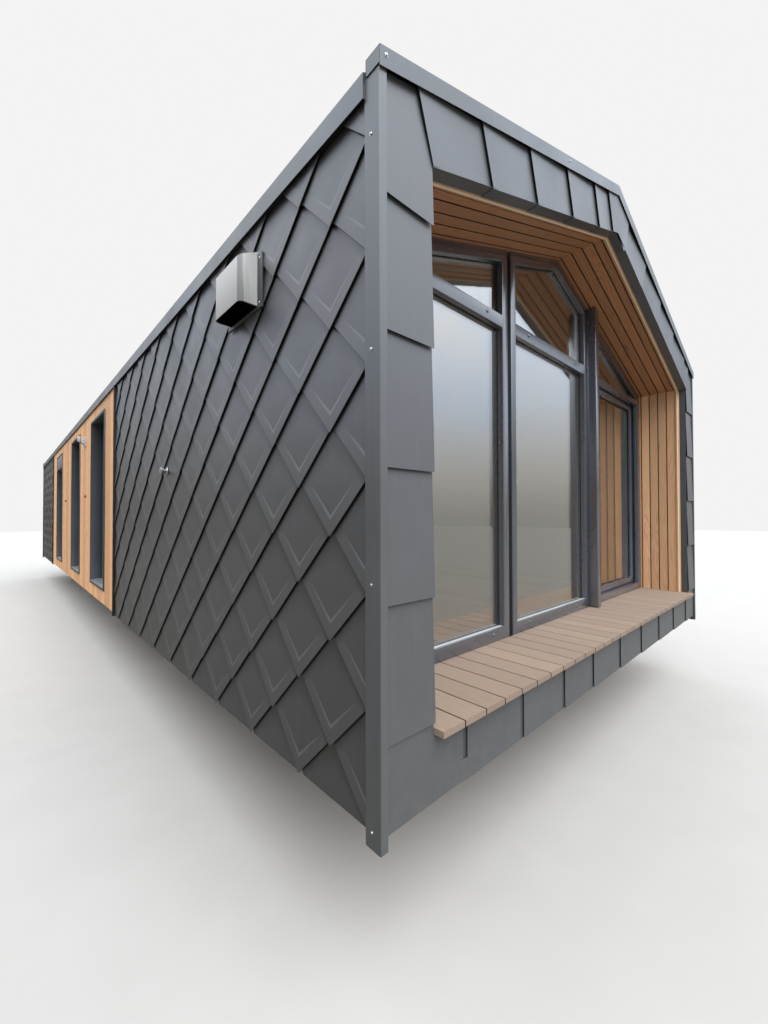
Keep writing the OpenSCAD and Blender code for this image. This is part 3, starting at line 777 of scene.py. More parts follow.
class Repeater:
    """Lays copies of a pattern piece with Geometry Nodes and gives plain meshes."""

    lean = 0.002
    stud_seed = 5

    def __init__(self) -> None:
        """Builds the three trees."""
        self.row_tree = self.make_row()
        self.lattice_tree = self.make_lattice()
        self.stud_tree = self.make_studs()

    @staticmethod
    def new_tree(name: str, inputs: dict[str, str]) -> tuple[Tree, Any, Any]:
        """Starts a Geometry Nodes tree.

        Args:
            name: the tree's name.
            inputs: each named input's socket kind.

        Returns:
            The tree, the outputs of its input node, and its output node.
        """
        group = bpy.data.node_groups.new(name, "GeometryNodeTree")
        group.interface.new_socket("Geometry", in_out="INPUT", socket_type="NodeSocketGeometry")
        for label, kind in inputs.items():
            group.interface.new_socket(label, in_out="INPUT", socket_type=f"NodeSocket{kind}")
        group.interface.new_socket("Geometry", in_out="OUTPUT", socket_type="NodeSocketGeometry")
        tree = Tree(group)
        return tree, tree.node("NodeGroupInput").outputs, tree.node("NodeGroupOutput")

    @staticmethod
    def scatter(tree: Tree, given: Any, out: Any, points: Any, rotation: Any = None) -> None:
        """Ends a tree: the piece on each point, with its own tone, realized and with its finish.

        Args:
            tree: the tree.
            given: the outputs of its input node.
            out: its output node.
            points: the points' socket.
            rotation: the copies' turn, if they have one.
        """
        piece = tree.node("GeometryNodeObjectInfo", {"Object": given["Piece"], "As Instance": True})
        inputs = {"Points": points, "Instance": piece.outputs["Geometry"]}
        if rotation is not None:
            inputs["Rotation"] = rotation
        copies = tree.node("GeometryNodeInstanceOnPoints", inputs).outputs["Instances"]
        random = tree.node("FunctionNodeRandomValue", {"Seed": given["Seed"]}, data_type="FLOAT")
        tone = next(socket for socket in random.outputs if socket.type == "VALUE")
        inputs = {"Geometry": copies, "Name": "tone", "Value": tone}
        toned = tree.node("GeometryNodeStoreNamedAttribute", inputs, data_type="FLOAT",
                          domain="INSTANCE").outputs["Geometry"]
        real = tree.node("GeometryNodeRealizeInstances", {"Geometry": toned}).outputs["Geometry"]
        made = tree.node("GeometryNodeSetMaterial", {"Geometry": real, "Material": given["Finish"]})
        tree.link(made.outputs["Geometry"], out.inputs[0])

    def make_row(self) -> bpy.types.NodeTree:
        """Builds the tree that lays a straight row."""
        tree, given, out = self.new_tree("row_of_pieces", {
            "Piece": "Object", "Finish": "Material", "Count": "Int", "Start": "Vector", "Step": "Vector",
            "Seed": "Int"})
        index = tree.node("GeometryNodeInputIndex").outputs[0]
        spot = tree.vector("ADD", given["Start"], tree.scaled(given["Step"], index))
        points = tree.node("GeometryNodePoints", {"Count": given["Count"], "Position": spot}).outputs[0]
        self.scatter(tree, given, out, points)
        return tree.tree

    def make_lattice(self) -> bpy.types.NodeTree:
        """Builds the tree that lays rows, every second one shifted by half a step."""
        tree, given, out = self.new_tree("lattice_of_tiles", {
            "Piece": "Object", "Finish": "Material", "Columns": "Int", "Rows": "Int", "Start": "Vector",
            "Across": "Float", "Up": "Float", "Lean": "Float", "Seed": "Int"})
        index = tree.node("GeometryNodeInputIndex").outputs[0]
        row = tree.math("FLOOR", tree.math("DIVIDE", tree.math("ADD", index, 0.5), given["Columns"]))
        column = tree.math("SUBTRACT", index, tree.math("MULTIPLY", row, given["Columns"]))
        half = tree.math("MULTIPLY", tree.math("MODULO", row, 2.0), 0.5)
        spot = tree.node("ShaderNodeCombineXYZ", {
            "X": tree.math("MULTIPLY", tree.math("ADD", column, half), given["Across"]),
            "Y": tree.math("MULTIPLY", row, given["Up"])}).outputs[0]
        count = tree.math("MULTIPLY", given["Columns"], given["Rows"])
        points = tree.node("GeometryNodePoints", {
            "Count": count, "Position": tree.vector("ADD", given["Start"], spot)}).outputs[0]
        turn = tree.node("FunctionNodeRandomValue", {"Min": (-1.0, -1.0, 0.0), "Max": (1.0, 1.0, 0.0),
                                                     "Seed": given["Seed"]}, data_type="FLOAT_VECTOR")
        self.scatter(tree, given, out, points, tree.scaled(turn.outputs[0], given["Lean"]))
        return tree.tree

    def make_studs(self) -> bpy.types.NodeTree:
        """Builds the tree that sets fasteners on a mesh's points along their facing."""
        inputs = {"Piece": "Object", "Finish": "Material", "Seed": "Int"}
        tree, given, out = self.new_tree("fasteners", inputs)
        points = tree.node("GeometryNodeMeshToPoints", {"Mesh": given["Geometry"]}).outputs[0]
        facing = tree.node("GeometryNodeInputNamedAttribute", {"Name": "facing"}, data_type="FLOAT_VECTOR")
        turn = tree.node("FunctionNodeAlignRotationToVector", {"Vector": facing.outputs[0]},
                         axis="Z").outputs[0]
        self.scatter(tree, given, out, points, turn)
        return tree.tree

    @staticmethod
    def run(tree: bpy.types.NodeTree, piece: bpy.types.Mesh, finish: str, values: dict[str, Any],
            host: bpy.types.Mesh | None = None) -> bpy.types.Mesh:
        """Runs a tree with a pattern piece and gives the result as a plain mesh.

        Args:
            tree: the Geometry Nodes tree.
            piece: the pattern piece.
            finish: the finish's name.
            values: the modifier's other inputs by name.
            host: the mesh that the modifier sits on, or None for an empty one.

        Returns:
            The result.
        """
        pattern = bpy.data.objects.new(piece.name, piece)
        values = {"Piece": pattern, "Finish": FINISHES.get(finish), **values}
        holder = bpy.data.objects.new("holder", host or bpy.data.meshes.new("host"))
        bpy.context.scene.collection.objects.link(holder)
        modifier = holder.modifiers.new("lay", "NODES")
        modifier.node_group = tree
        for item in tree.interface.items_tree:
            if item.in_out == "INPUT" and item.name in values:
                modifier[item.identifier] = values[item.name]
        graph = bpy.context.evaluated_depsgraph_get()
        mesh = bpy.data.meshes.new_from_object(holder.evaluated_get(graph), preserve_all_data_layers=True,
                                               depsgraph=graph)
        holder.modifiers.remove(modifier)
        bpy.data.objects.remove(holder)
        bpy.data.objects.remove(pattern)
        return mesh

    def row(self, piece: bpy.types.Mesh, finish: str, count: int, start: Vector, step: Vector,
            seed: int) -> bpy.types.Mesh:
        """Lays a straight row of a piece, from its start by equal steps in metres."""
        values = {"Count": count, "Start": start, "Step": step, "Seed": seed}
        return self.run(self.row_tree, piece, finish, values)

    def lattice(self, piece: bpy.types.Mesh, finish: str, columns: int, rows: int, start: Vector,
                across: float, up: float, seed: int) -> bpy.types.Mesh:
        """Lays tiles in rows from the first tip, every second one shifted by half a tile."""
        values = {"Columns": columns, "Rows": rows, "Start": start, "Across": across, "Up": up,
                  "Lean": self.lean, "Seed": seed}
        return self.run(self.lattice_tree, piece, finish, values)

    def studs(self, piece: bpy.types.Mesh, finish: str,
              spots: Sequence[tuple[Vector, Vector]]) -> bpy.types.Mesh:
        """Sets a fastener on each spot.

        Args:
            piece: the pattern fastener, standing on Z.
            finish: the finish's name.
            spots: place in metres and facing of each.

        Returns:
            The fasteners' mesh.
        """
        host = bpy.data.meshes.new("host")
        host.from_pydata([spot for spot, _ in spots], [], [])
        facing = host.attributes.new("facing", "FLOAT_VECTOR", "POINT")
        facing.data.foreach_set("vector", [part for _, way in spots for part in way])
        return self.run(self.stud_tree, piece, finish, {"Seed": self.stud_seed}, host)


def past_x(x: float, way: int) -> Cut:
    """Gives the cut that takes away what lies past x in a direction of -1 or 1."""
    return place(x, 0, 0), X_WAY * way


def past_y(y: float, way: int) -> Cut:
    """Gives the cut that takes away what lies past y in a direction of -1 or 1."""
    return place(0, y, 0), Y_WAY * way


def cut_closed(mesh: bpy.types.Mesh, cuts: Sequence[Cut]) -> None:
    """Cuts closed solids with planes and closes them again.

    Args:
        mesh: the solids.
        cuts: a point of each plane and its outward normal; what lies outwards goes.
    """
    with edited(mesh) as bm:
        for point, normal in cuts:
            geometry = [*bm.verts, *bm.edges, *bm.faces]
            result = bmesh.ops.bisect_plane(bm, geom=geometry, dist=1e-6, plane_co=point, plane_no=normal,
                                            clear_outer=True)
            rim = [part for part in result["geom_cut"] if isinstance(part, bmesh.types.BMEdge)]
            bmesh.ops.holes_fill(bm, edges=rim, sides=0)


def joined(name: str, meshes: Sequence[bpy.types.Mesh]) -> bpy.types.Mesh:
    """Joins meshes of one finish into one mesh.

    Args:
        name: the new mesh's name.
        meshes: the meshes, which are removed.

    Returns:
        The joined mesh.
    """
    bm = bmesh.new()
    for mesh in meshes:
        bm.from_mesh(mesh)
    result = bpy.data.meshes.new(name)
    bm.to_mesh(result)
    bm.free()
    for material in meshes[0].materials:
        result.materials.append(material)
    for mesh in meshes:
        bpy.data.meshes.remove(mesh)
    return result


@dataclass(frozen=True)
class Plank:
    """A board with a rebate on one side, where the next board's edge leaves a groove."""

    width: float
    length: float
    thick: float
    groove: float = 0.0
    depth: float = 8.0
    arris: float = 1.2
    # How dark the groove and gap walls are painted, as shade.
    painted_shade: float = 0.9

    def profile(self) -> list[Point2]:
        """Gives the outline across the board: place across, and depth behind the face."""
        edge = self.width - self.groove
        points = [(0.0, self.arris), (self.arris, 0.0), (edge - self.arris, 0.0), (edge, self.arris)]
        if self.groove:
            points += [(edge, self.depth), (self.width, self.depth)]
        return [*points, (self.width if self.groove else edge, self.thick), (0.0, self.thick)]

    def mesh(self, across: Vector, out: Vector, along: Vector) -> bpy.types.Mesh:
        """Builds the pattern piece.

        Args:
            across: direction across the board.
            out: direction that its face looks in.
            along: direction of its length.

        Returns:
            The mesh, from its lower left corner at the origin.
        """
        outline = self.profile()
        count = len(outline)
        solids = Solids(pattern=True)
        ends = []
        lays = []
        for run in (0.0, self.length):
            for side, depth in outline:
                ends.append((across * side - out * depth + along * run) * MM)
                lays.append(Vector((side, depth, run)) * MM)
        made = solids.shell(ends, sleeve(count), "gasket", lays=lays)
        # Painted shade on the groove's walls and on the side walls towards the next board.
        for wall in (3, 4, count - 1) if self.groove else (3, count - 1):
            for loop in made[2 + wall].loops:
                loop[solids.shade] = self.painted_shade
        bmesh.ops.recalc_face_normals(solids.bm, faces=made)
        return solids.pattern("plank")


@dataclass(frozen=True)
class Tile:
    """A square metal tile standing on its corner, hooked under the two tiles above it.

    A place on its face is two shares of its side: one runs up left from the lower tip, one up
    right. The face leans back towards the top, so that its lower edges stand over its neighbours.
    """

    across: float = 433.0
    row: float = 191.0
    tilt: float = 11.5
    sheet: float = 2.2
    border: float = 62.0
    arm: float = 0.79
    middle: float = 0.45
    fold: float = 12.0
    relief: float = 1.5
    # Painted highlight: how pale the V fold's faces are painted.
    crease_highlight: float = 0.1
    # Painted shade: the face is darker near its tucked upper edges; fade and top_fade say how far in it
    # fades.
    fade: float = 34.0
    top_fade: float = 84.0
    painted_shade: float = 0.8
    # Painted highlight: how much paler the border band between the V and the lower edges is painted.
    lift: float = 0.022
    arris: float = 1.2
    embossed: bool = True

    def corners(self) -> dict[str, tuple[float, float, float, float]]:
        """Gives the face's corners: share up left, share up right, depth and painted shade."""
        side = self.across / math.sqrt(2)
        slim = self.arris / side
        seen = 0.5 + self.row / self.across
        clear = seen - self.fade / side
        bend = self.border / self.across
        foot = bend + self.fold / side
        relief = self.relief if self.embossed else 0.0
        deep = seen - self.top_fade / side
        middle = {"tip": (slim, 0.0, 0.0), "bend": (bend, 0.0, 0.0), "foot": (foot, relief, 0.0),
                  "middle": (self.middle, 0.0, 0.0), "clear": (deep, 0.0, 0.0), "seen": (seen, 0.0, 1.0),
                  "top": (1.0, 0.0, 1.0)}
        half = {"side": (slim, clear, 0.0), "side_edge": (slim, seen, self.painted_shade),
                "side_tuck": (slim, 1.0, 1.0), "arm": (bend, self.arm, 0.0), "line": (bend, clear, 0.0),
                "upper": (clear, seen, self.painted_shade)}
        found = {name: (share, share, depth, painted_shade) for name, (share, depth, painted_shade) in middle.items()}
        for name, (left, right, painted_shade) in half.items():
            found[f"{name}_r"] = (left, right, 0.0, painted_shade)
            found[f"{name}_l"] = (right, left, 0.0, painted_shade)
        return found

    def mesh(self) -> bpy.types.Mesh:
        """Builds the tile in its field's own frame, with its lower tip at the origin.

        Returns:
            The pattern tile.
        """
        half = self.across / 2

        def spot(left: float, right: float, depth: float) -> tuple[float, float, float]:
            return half * (right - left), half * (right + left), -self.tilt * (right + left) - depth

        corners = self.corners()
        number = {name: i for i, name in enumerate(corners)}
        points = [spot(*corner[:3]) for corner in corners.values()]
        shades = [corner[3] for corner in corners.values()]
        creases = ["bend arm_ foot"]
        border = ["tip side_ arm_", "tip arm_ bend", "side_ line_ arm_"]
        field = ["arm_ line_ middle", "line_ clear middle", "foot arm_ middle", "side_ side_edge_ line_",
                 "line_ side_edge_ upper_", "line_ upper_ clear", "clear upper_ seen",
                 "side_edge_ side_tuck_ upper_", "upper_ side_tuck_ top seen"]
        faces = []
        for patch in creases + border + field:
            for hand in "rl":
                names = [name + hand if name.endswith("_") else name for name in patch.split()]
                faces.append(tuple(number[name] for name in names))
        lap = ["tip", "side_r", "side_edge_r", "side_tuck_r", "top", "side_tuck_l", "side_edge_l", "side_l"]
        upper = [number[name] for name in lap]
        count = len(lap)
        slim = corners["tip"][0]
        for depth in (self.arris, self.sheet):
            lower = list(range(len(points), len(points) + count))
            for name in lap:
                left, right, _, painted_shade = corners[name]
                points.append(spot(0.0 if left == slim else left, 0.0 if right == slim else right, depth))
                shades.append(painted_shade)
            faces += [(upper[i], lower[i], lower[(i + 1) % count], upper[(i + 1) % count])
                      for i in range(count)]
            upper = lower
        faces += [(upper[0], upper[i + 1], upper[i]) for i in range(1, count - 1)]
        solids = Solids(pattern=True)
        made = solids.shell([Vector(point) * MM for point in points], faces, "gasket", shades=shades)
        bmesh.ops.recalc_face_normals(solids.bm, faces=made)
        if self.embossed:
            solids.bm.verts.index_update()
            folded = 2 * len(creases)
            # Painted highlight on the border band, at these corners.
            lifted = {number[name] for name in ("tip", "bend", "arm_r", "arm_l", "side_r", "side_l")}
            for i, face in enumerate(made[:folded + 2 * len(border)]):
                for loop in face.loops:
                    # Painted highlight on the V fold's faces.
                    if i < folded:
                        loop[solids.shade] = -self.crease_highlight
                    elif loop.vert.index in lifted:
                        loop[solids.shade] = -self.lift
        return solids.pattern("tile")


@dataclass
class TileField:
    """One face of the house covered with rhombus tiles."""

    name: str
    nodes: tuple[str, ...]
    origin: tuple[float, float, float]
    across: Vector
    up: Vector
    outlines: list[list[Point2]]
    tip_u: float
    foot_v: float
    bed: float = 38.0
    bed_top: float = 28.0
    seed: int = 3
    starter_seed: int = 50
    tile: Tile = field(default_factory=Tile)

    def build(self, repeater: Repeater) -> None:
        """Lays the tiles, cuts them to the outlines and adds the bed behind them."""
        out = self.across.cross(self.up)
        turn = Matrix((self.across, self.up, out)).transposed().to_4x4()
        home = Matrix.Translation(place(*self.origin)) @ turn
        parts = []
        for number, outline in enumerate(self.outlines):
            parts.append(self.covered(repeater, outline, self.seed + number))
        mesh = joined(self.name, parts)
        mesh.transform(home)
        publish(self.name, mesh, self.nodes)

    def covered(self, repeater: Repeater, outline: Sequence[Point2], seed: int) -> bpy.types.Mesh:
        """Covers one convex outline.

        Args:
            repeater: what lays the tiles.
            outline: its corners, anticlockwise.
            seed: seed of the tones.

        Returns:
            The tiles and their bed in the field's own frame.
        """
        wide, mid = self.tile.across, self.tile.row
        low_u = min(u for u, _ in outline)
        high_u = max(u for u, _ in outline)
        high_v = max(v for _, v in outline)
        first = self.tip_u + math.floor((low_u - self.tip_u) / wide) * wide - wide
        columns = math.ceil((high_u - first) / wide) + 2
        rows = math.ceil((high_v - self.foot_v) / mid) + 1
        start = Vector((first, self.foot_v, 0.0)) * MM
        under = Vector((first - wide / 2, self.foot_v - mid, 0.0)) * MM
        step = (wide * MM, mid * MM)
        tiles = repeater.lattice(self.tile.mesh(), "metal_tiles", columns, rows, start, *step, seed)
        plain = Tile(embossed=False).mesh()
        starters = repeater.lattice(plain, "metal_tiles", columns + 1, 1, under, *step,
                                    seed + self.starter_seed)
        mesh = joined("covered", [tiles, starters])
        cuts = []
        for here, there in zip(outline, [*outline[1:], outline[0]]):
            side = Vector((there[0] - here[0], there[1] - here[1], 0.0)).normalized()
            cuts.append((Vector((*here, 0.0)) * MM, Vector((side.y, -side.x, 0.0))))
        cut_closed(mesh, cuts)
        count = len(outline)
        with edited(mesh) as bm:
            low, top = ([bm.verts.new(Vector((u, v, depth)) * MM) for u, v in outline]
                        for depth in (-self.bed, -self.bed_top))
            bm.faces.new(low[::-1])
            bm.faces.new(top)
            for i in range(count):
                nxt = (i + 1) % count
                bm.faces.new((low[i], low[nxt], top[nxt], top[i]))
        return mesh


@dataclass
class TiledFaces:
    """The tiled long sides, the back gable and both roof slopes."""

    skin_x: float = 2229.0
    trim_side: float = 67.0
    first_tip: float = 55.5
    roof_top: float = 33.0
    roof_bed: float = 32.5
    roof_over: float = 4.0
    roof_end: float = 62.0
    eave_gap: float = 45.0

    @staticmethod
    def panel(side: int, ends: tuple[float, float], low: float, high: float) -> list[Point2]:
        """Gives a rectangle on one long side, seen from outside."""
        start, end = ends if side > 0 else (-ends[1], -ends[0])
        return [(start, low), (end, low), (end, high), (start, high)]

    def build(self, repeater: Repeater) -> None:
        """Lays every tiled face."""
        house = HOUSE
        near = (self.trim_side, house.boards_y)
        far = (house.boards_end, house.length - self.trim_side)
        edge = house.half_w + self.roof_over
        run = edge / math.cos(house.pitch)
        top = house.verge(edge, self.roof_top / math.cos(house.pitch))
        for side, name in ((-1, "left"), (1, "right")):
            across = Y_WAY * side
            outlines = [self.panel(side, ends, house.skirt_z, house.fascia_z) for ends in (near, far)]
            TileField(f"{name}_side_tiles", (f"{name}_metal_cladding",), (side * self.skin_x, 0, 0), across,
                      Z_WAY, outlines, side * self.first_tip, house.skirt_z, seed=11 + side).build(repeater)
            slope = Vector((-side * math.cos(house.pitch), 0, math.sin(house.pitch)))
            outline = self.panel(side, (self.roof_end, house.length - self.roof_end), self.eave_gap, run)
            TileField(f"{name}_roof_tiles", (f"roof_cover_{name}",), (side * edge, 0, top), across, slope,
                      [outline], side * self.first_tip, 0.0, bed=self.roof_bed,
                      seed=31 + side).build(repeater)
        wall = house.wall_x
        gable = [(-wall, house.skirt_z), (wall, house.skirt_z), (wall, house.verge(wall)),
                 (0, house.verge(0)), (-wall, house.verge(wall))]
        TileField("back_tiles", ("back_cladding",), (0, house.length - 1, 0), -X_WAY, Z_WAY, [gable], 0.0,
                  house.skirt_z, seed=71).build(repeater)


@dataclass
class LappedSheets:
    """The front's metal sheets: along the gable, up both wings and along the base."""

    top_y: float = 8.5
    low_y: float = -4.5
    sheet: float = 1.6
    lap: float = 22.0
    left_seams: tuple[float, ...] = (-1960.0, -1561.0, -1152.0, -730.0, -334.0, -92.0)
    right_seams: tuple[float, ...] = (150.0, 553.0, 974.0, 1391.0, 1803.0, 1960.0)
    fascia_seams: tuple[float, ...] = (-1761.0, -1320.0, -881.0, -481.0, -12.0, 450.0, 921.0, 1384.0, 1845.0)
    wing_step: float = 451.0
    course_z: float = 330.0
    tuck: float = 8.0
    return_y: float = 60.0
    fold: float = 4.0
    over: float = 4.0
    shoulder: float = 86.0
    fascia_lap: float = 12.0
    ease_near: float = 6.0
    ease_far: float = 70.0
    ease_top: float = 128.0
    gable_tones: tuple[float, ...] = (0.3, 0.7, 0.45, 0.9, 0.2, 0.6, 0.4, 0.8, 0.5, 0.35)
    wing_tones: tuple[float, ...] = (0.4, 0.75, 0.3, 0.6, 0.5)
    fascia_tones: tuple[float, ...] = (0.5, 0.45, 0.6, 0.45, 0.7, 0.4, 0.55, 0.3, 0.5, 0.6)

    def plate(self, solids: Solids, outline: Sequence[Point2], low: Point2, up: Point2, run: float,
              tone: float, low_y: float | None = None) -> None:
        """Adds one sheet that leans out towards its lower edge.

        Args:
            solids: where it goes.
            outline: its corners in X and Z.
            low: a point of its lower edge.
            up: unit direction away from that edge.
            run: how far it takes to come back to the upper depth.
            tone: the sheet's own tone.
            low_y: depth of the lower edge, where it isn't the usual one.
        """
        foot = self.low_y if low_y is None else low_y
        fronts = []
        for x, z in outline:
            share = min(max(((x - low[0]) * up[0] + (z - low[1]) * up[1]) / run, 0.0), 1.0)
            fronts.append(foot + (self.top_y - foot) * share)
        near = [place(x, y, z) for (x, z), y in zip(outline, fronts)]
        far = [place(x, y + self.sheet, z) for (x, z), y in zip(outline, fronts)]
        solids.prism(near, far, "metal_sheet", tone)

    def gable(self, solids: Solids) -> None:
        """Adds the sheets along both slopes and the one folded over the ridge."""
        house = HOUSE
        sine, cosine = math.sin(house.pitch), math.cos(house.pitch)
        tall = house.band_h * cosine
        for side, seams in ((-1, self.left_seams), (1, [-x for x in self.right_seams[::-1]])):
            for number, (start, end) in enumerate(zip(seams, seams[1:])):
                run = (end - start) / cosine

                def corner(along: float, high: float) -> Point2:
                    x = start + along * cosine - high * sine
                    z = house.verge(start, -house.band_h) + along * sine + high * cosine
                    return (-side * x, z) if side > 0 else (x, z)

                wide = run + self.lap
                outline = [corner(0, 0), corner(wide, 0), corner(wide, tall), corner(0, tall)]
                up = (-side * cosine, sine)
                tone = self.gable_tones[(number * 3 + side) % len(self.gable_tones)]
                self.plate(solids, outline, corner(0, 0), up, run, tone)
                under = [corner(0, -self.fold), corner(run, -0.6), corner(run, 0), corner(0, 0)]
                solids.facade(under, self.low_y + self.sheet, self.return_y, "metal_sheet", 0.3)
        left, right, lean = self.left_seams[-1], self.right_seams[0], tall * sine
        feet = [(x, house.verge(x, -house.band_h)) for x in (left, 0.0, right)]
        heads = [(x, house.verge(x)) for x in (left - lean, 0.0, right + lean)]
        for i in (0, 1):
            half = [feet[i], feet[i + 1], heads[i + 1], heads[i]]
            solids.facade(half, self.low_y, self.low_y + self.sheet, "metal_sheet", 0.55)

    def wings(self, solids: Solids) -> None:
        """Adds the panels up both wings."""
        house = HOUSE
        for side in (-1, 1):
            inner, outer = side * house.open_x, side * (house.wall_x + self.tuck)
            bend = inner + side * self.shoulder
            for number, tone in enumerate(self.wing_tones):
                low = self.course_z + number * self.wing_step
                high = low + self.wing_step + self.lap
                outline = [(outer, low), (inner, low), (inner, high), (outer, high)]
                if number == len(self.wing_tones) - 1:
                    outline[2:] = [(inner, house.verge(inner, self.over - house.band_h)),
                                   (bend, house.verge(bend)), (outer, house.verge(outer))]
                self.plate(solids, outline, (outer, low), (0.0, 1.0), self.wing_step, tone)

    def fascia(self, solids: Solids) -> None:
        """Adds the sheets along the base, under the deck and both wings."""
        house = HOUSE
        edges = [-house.wall_x - self.tuck, *self.fascia_seams, house.wall_x + self.tuck]
        foot, top, head = house.skirt_z, house.deck_h - house.deck_t, self.course_z + self.over
        for start, end, tone in zip(edges, edges[1:], self.fascia_tones):
            lapped = end + self.fascia_lap
            outline = [(start, foot), (lapped, foot), (lapped, top), (start, top)]
            if start == edges[0]:
                outline[3:] = [(-house.open_x, top), (-house.open_x, head), (start, head)]
            if end == edges[-1]:
                outline[1:3] = [(end, foot), (end, head), (house.open_x, head), (house.open_x, top)]
            self.plate(solids, outline, (start, 0), (1.0, 0.0), end - start, tone, low_y=1.5)
        near, far = self.fascia_seams[0] + self.ease_near, self.fascia_seams[0] - self.ease_far
        ease = [(far, foot), (near, foot), (near, self.ease_top), (far, self.ease_top)]
        self.plate(solids, ease, (near, 0), (-1.0, 0.0), near - far, self.fascia_tones[1], low_y=1.2)

    def build(self) -> None:
        """Builds the sheets and dresses the bands that carry them."""
        solids = Solids()
        self.gable(solids)
        self.wings(solids)
        self.fascia(solids)
        solids.publish("front_sheets", "metal_sheet", smooth=None)
        for node in ("gable_bands", "front_panels", "base_fascia"):
            dress(node, "metal_trim")


@dataclass
class BoardedSides:
    """The light upright boards of both long sides, round their windows."""

    pitch: float = 141.0
    thick: float = 30.0
    groove: float = 7.0
    face_x: float = 2222.0
    edge_w: float = 12.0
    edge_proud: float = 12.0
    edge_over: float = 2.0
    catch_spots: tuple[Point2, ...] = ((6163.0, 1377.0), (8510.0, 1386.0))
    catch_parts: tuple[tuple[float, ...], ...] = (
        (0.0, 9.0, 11.0, -24.0, 24.0), (8.5, 20.0, 5.0, -12.0, 18.0))

    def stretches(self) -> list[tuple[float, float, float, float]]:
        """Gives the boarded rectangles: start and end along the side, foot and head."""
        house = HOUSE
        found = []
        start = house.boards_y
        for window in house.window_ys:
            end = window + house.window_w
            found.append((start, window, house.boards_z, house.fascia_z))
            found.append((window, end, house.boards_z, house.window_z))
            found.append((window, end, house.window_top, house.fascia_z))
            start = end
        found.append((start, house.boards_end, house.boards_z, house.fascia_z))
        return found

    def build(self, repeater: Repeater) -> None:
        """Builds both sides."""
        for side, name in ((-1, "left"), (1, "right")):
            parts = []
            for number, (start, end, low, high) in enumerate(self.stretches()):
                plank = Plank(self.pitch, high - low, self.thick, self.groove)
                first = math.floor((start - HOUSE.boards_y) / self.pitch)
                count = math.ceil((end - HOUSE.boards_y) / self.pitch) - first
                origin = place(side * self.face_x, HOUSE.boards_y + first * self.pitch, low)
                mesh = repeater.row(plank.mesh(Y_WAY, X_WAY * side, Z_WAY), "light_boards", count, origin,
                                    Y_WAY * self.pitch * MM, 100 + number * 7 + side)
                cut_closed(mesh, [past_y(start, -1), past_y(end, 1)])
                parts.append(mesh)
            publish(f"{name}_boards", joined(f"{name}_boards", parts),
                    (f"{name}_wood_cladding",))
            self.edges(side, name)

    def edges(self, side: int, name: str) -> None:
        """Adds the folded edges between the boards and the tiles, near-black so that they also paint the
        shade of that junction.
        """
        solids = Solids()
        depth = (HOUSE.wall_x + self.thick, HOUSE.half_w + self.edge_proud)
        # Near-black strips: folded trims, and painted shade at the junction.
        for start in (HOUSE.boards_y - self.edge_w + self.edge_over, HOUSE.boards_end - self.edge_over):
            solids.side_box(side, depth, (start, start + self.edge_w), (HOUSE.skirt_z, HOUSE.fascia_z),
                            "gasket")
        round_edges(solids.bm, 1.0)
        solids.publish(f"{name}_board_edges", "metal_trim")

    def catches(self) -> None:
        """Adds the small bronze catches between the windows."""
        for side, name in ((-1, "left"), (1, "right")):
            solids = Solids()
            for y, z in self.catch_spots:
                for near, far, half, low, high in self.catch_parts:
                    depth = (self.face_x + near, self.face_x + far)
                    solids.side_box(side, depth, (y - half, y + half), (z + low, z + high), "bronze")
            round_edges(solids.bm, 2.0)
            solids.publish(f"{name}_wall_catches", "bare_steel")


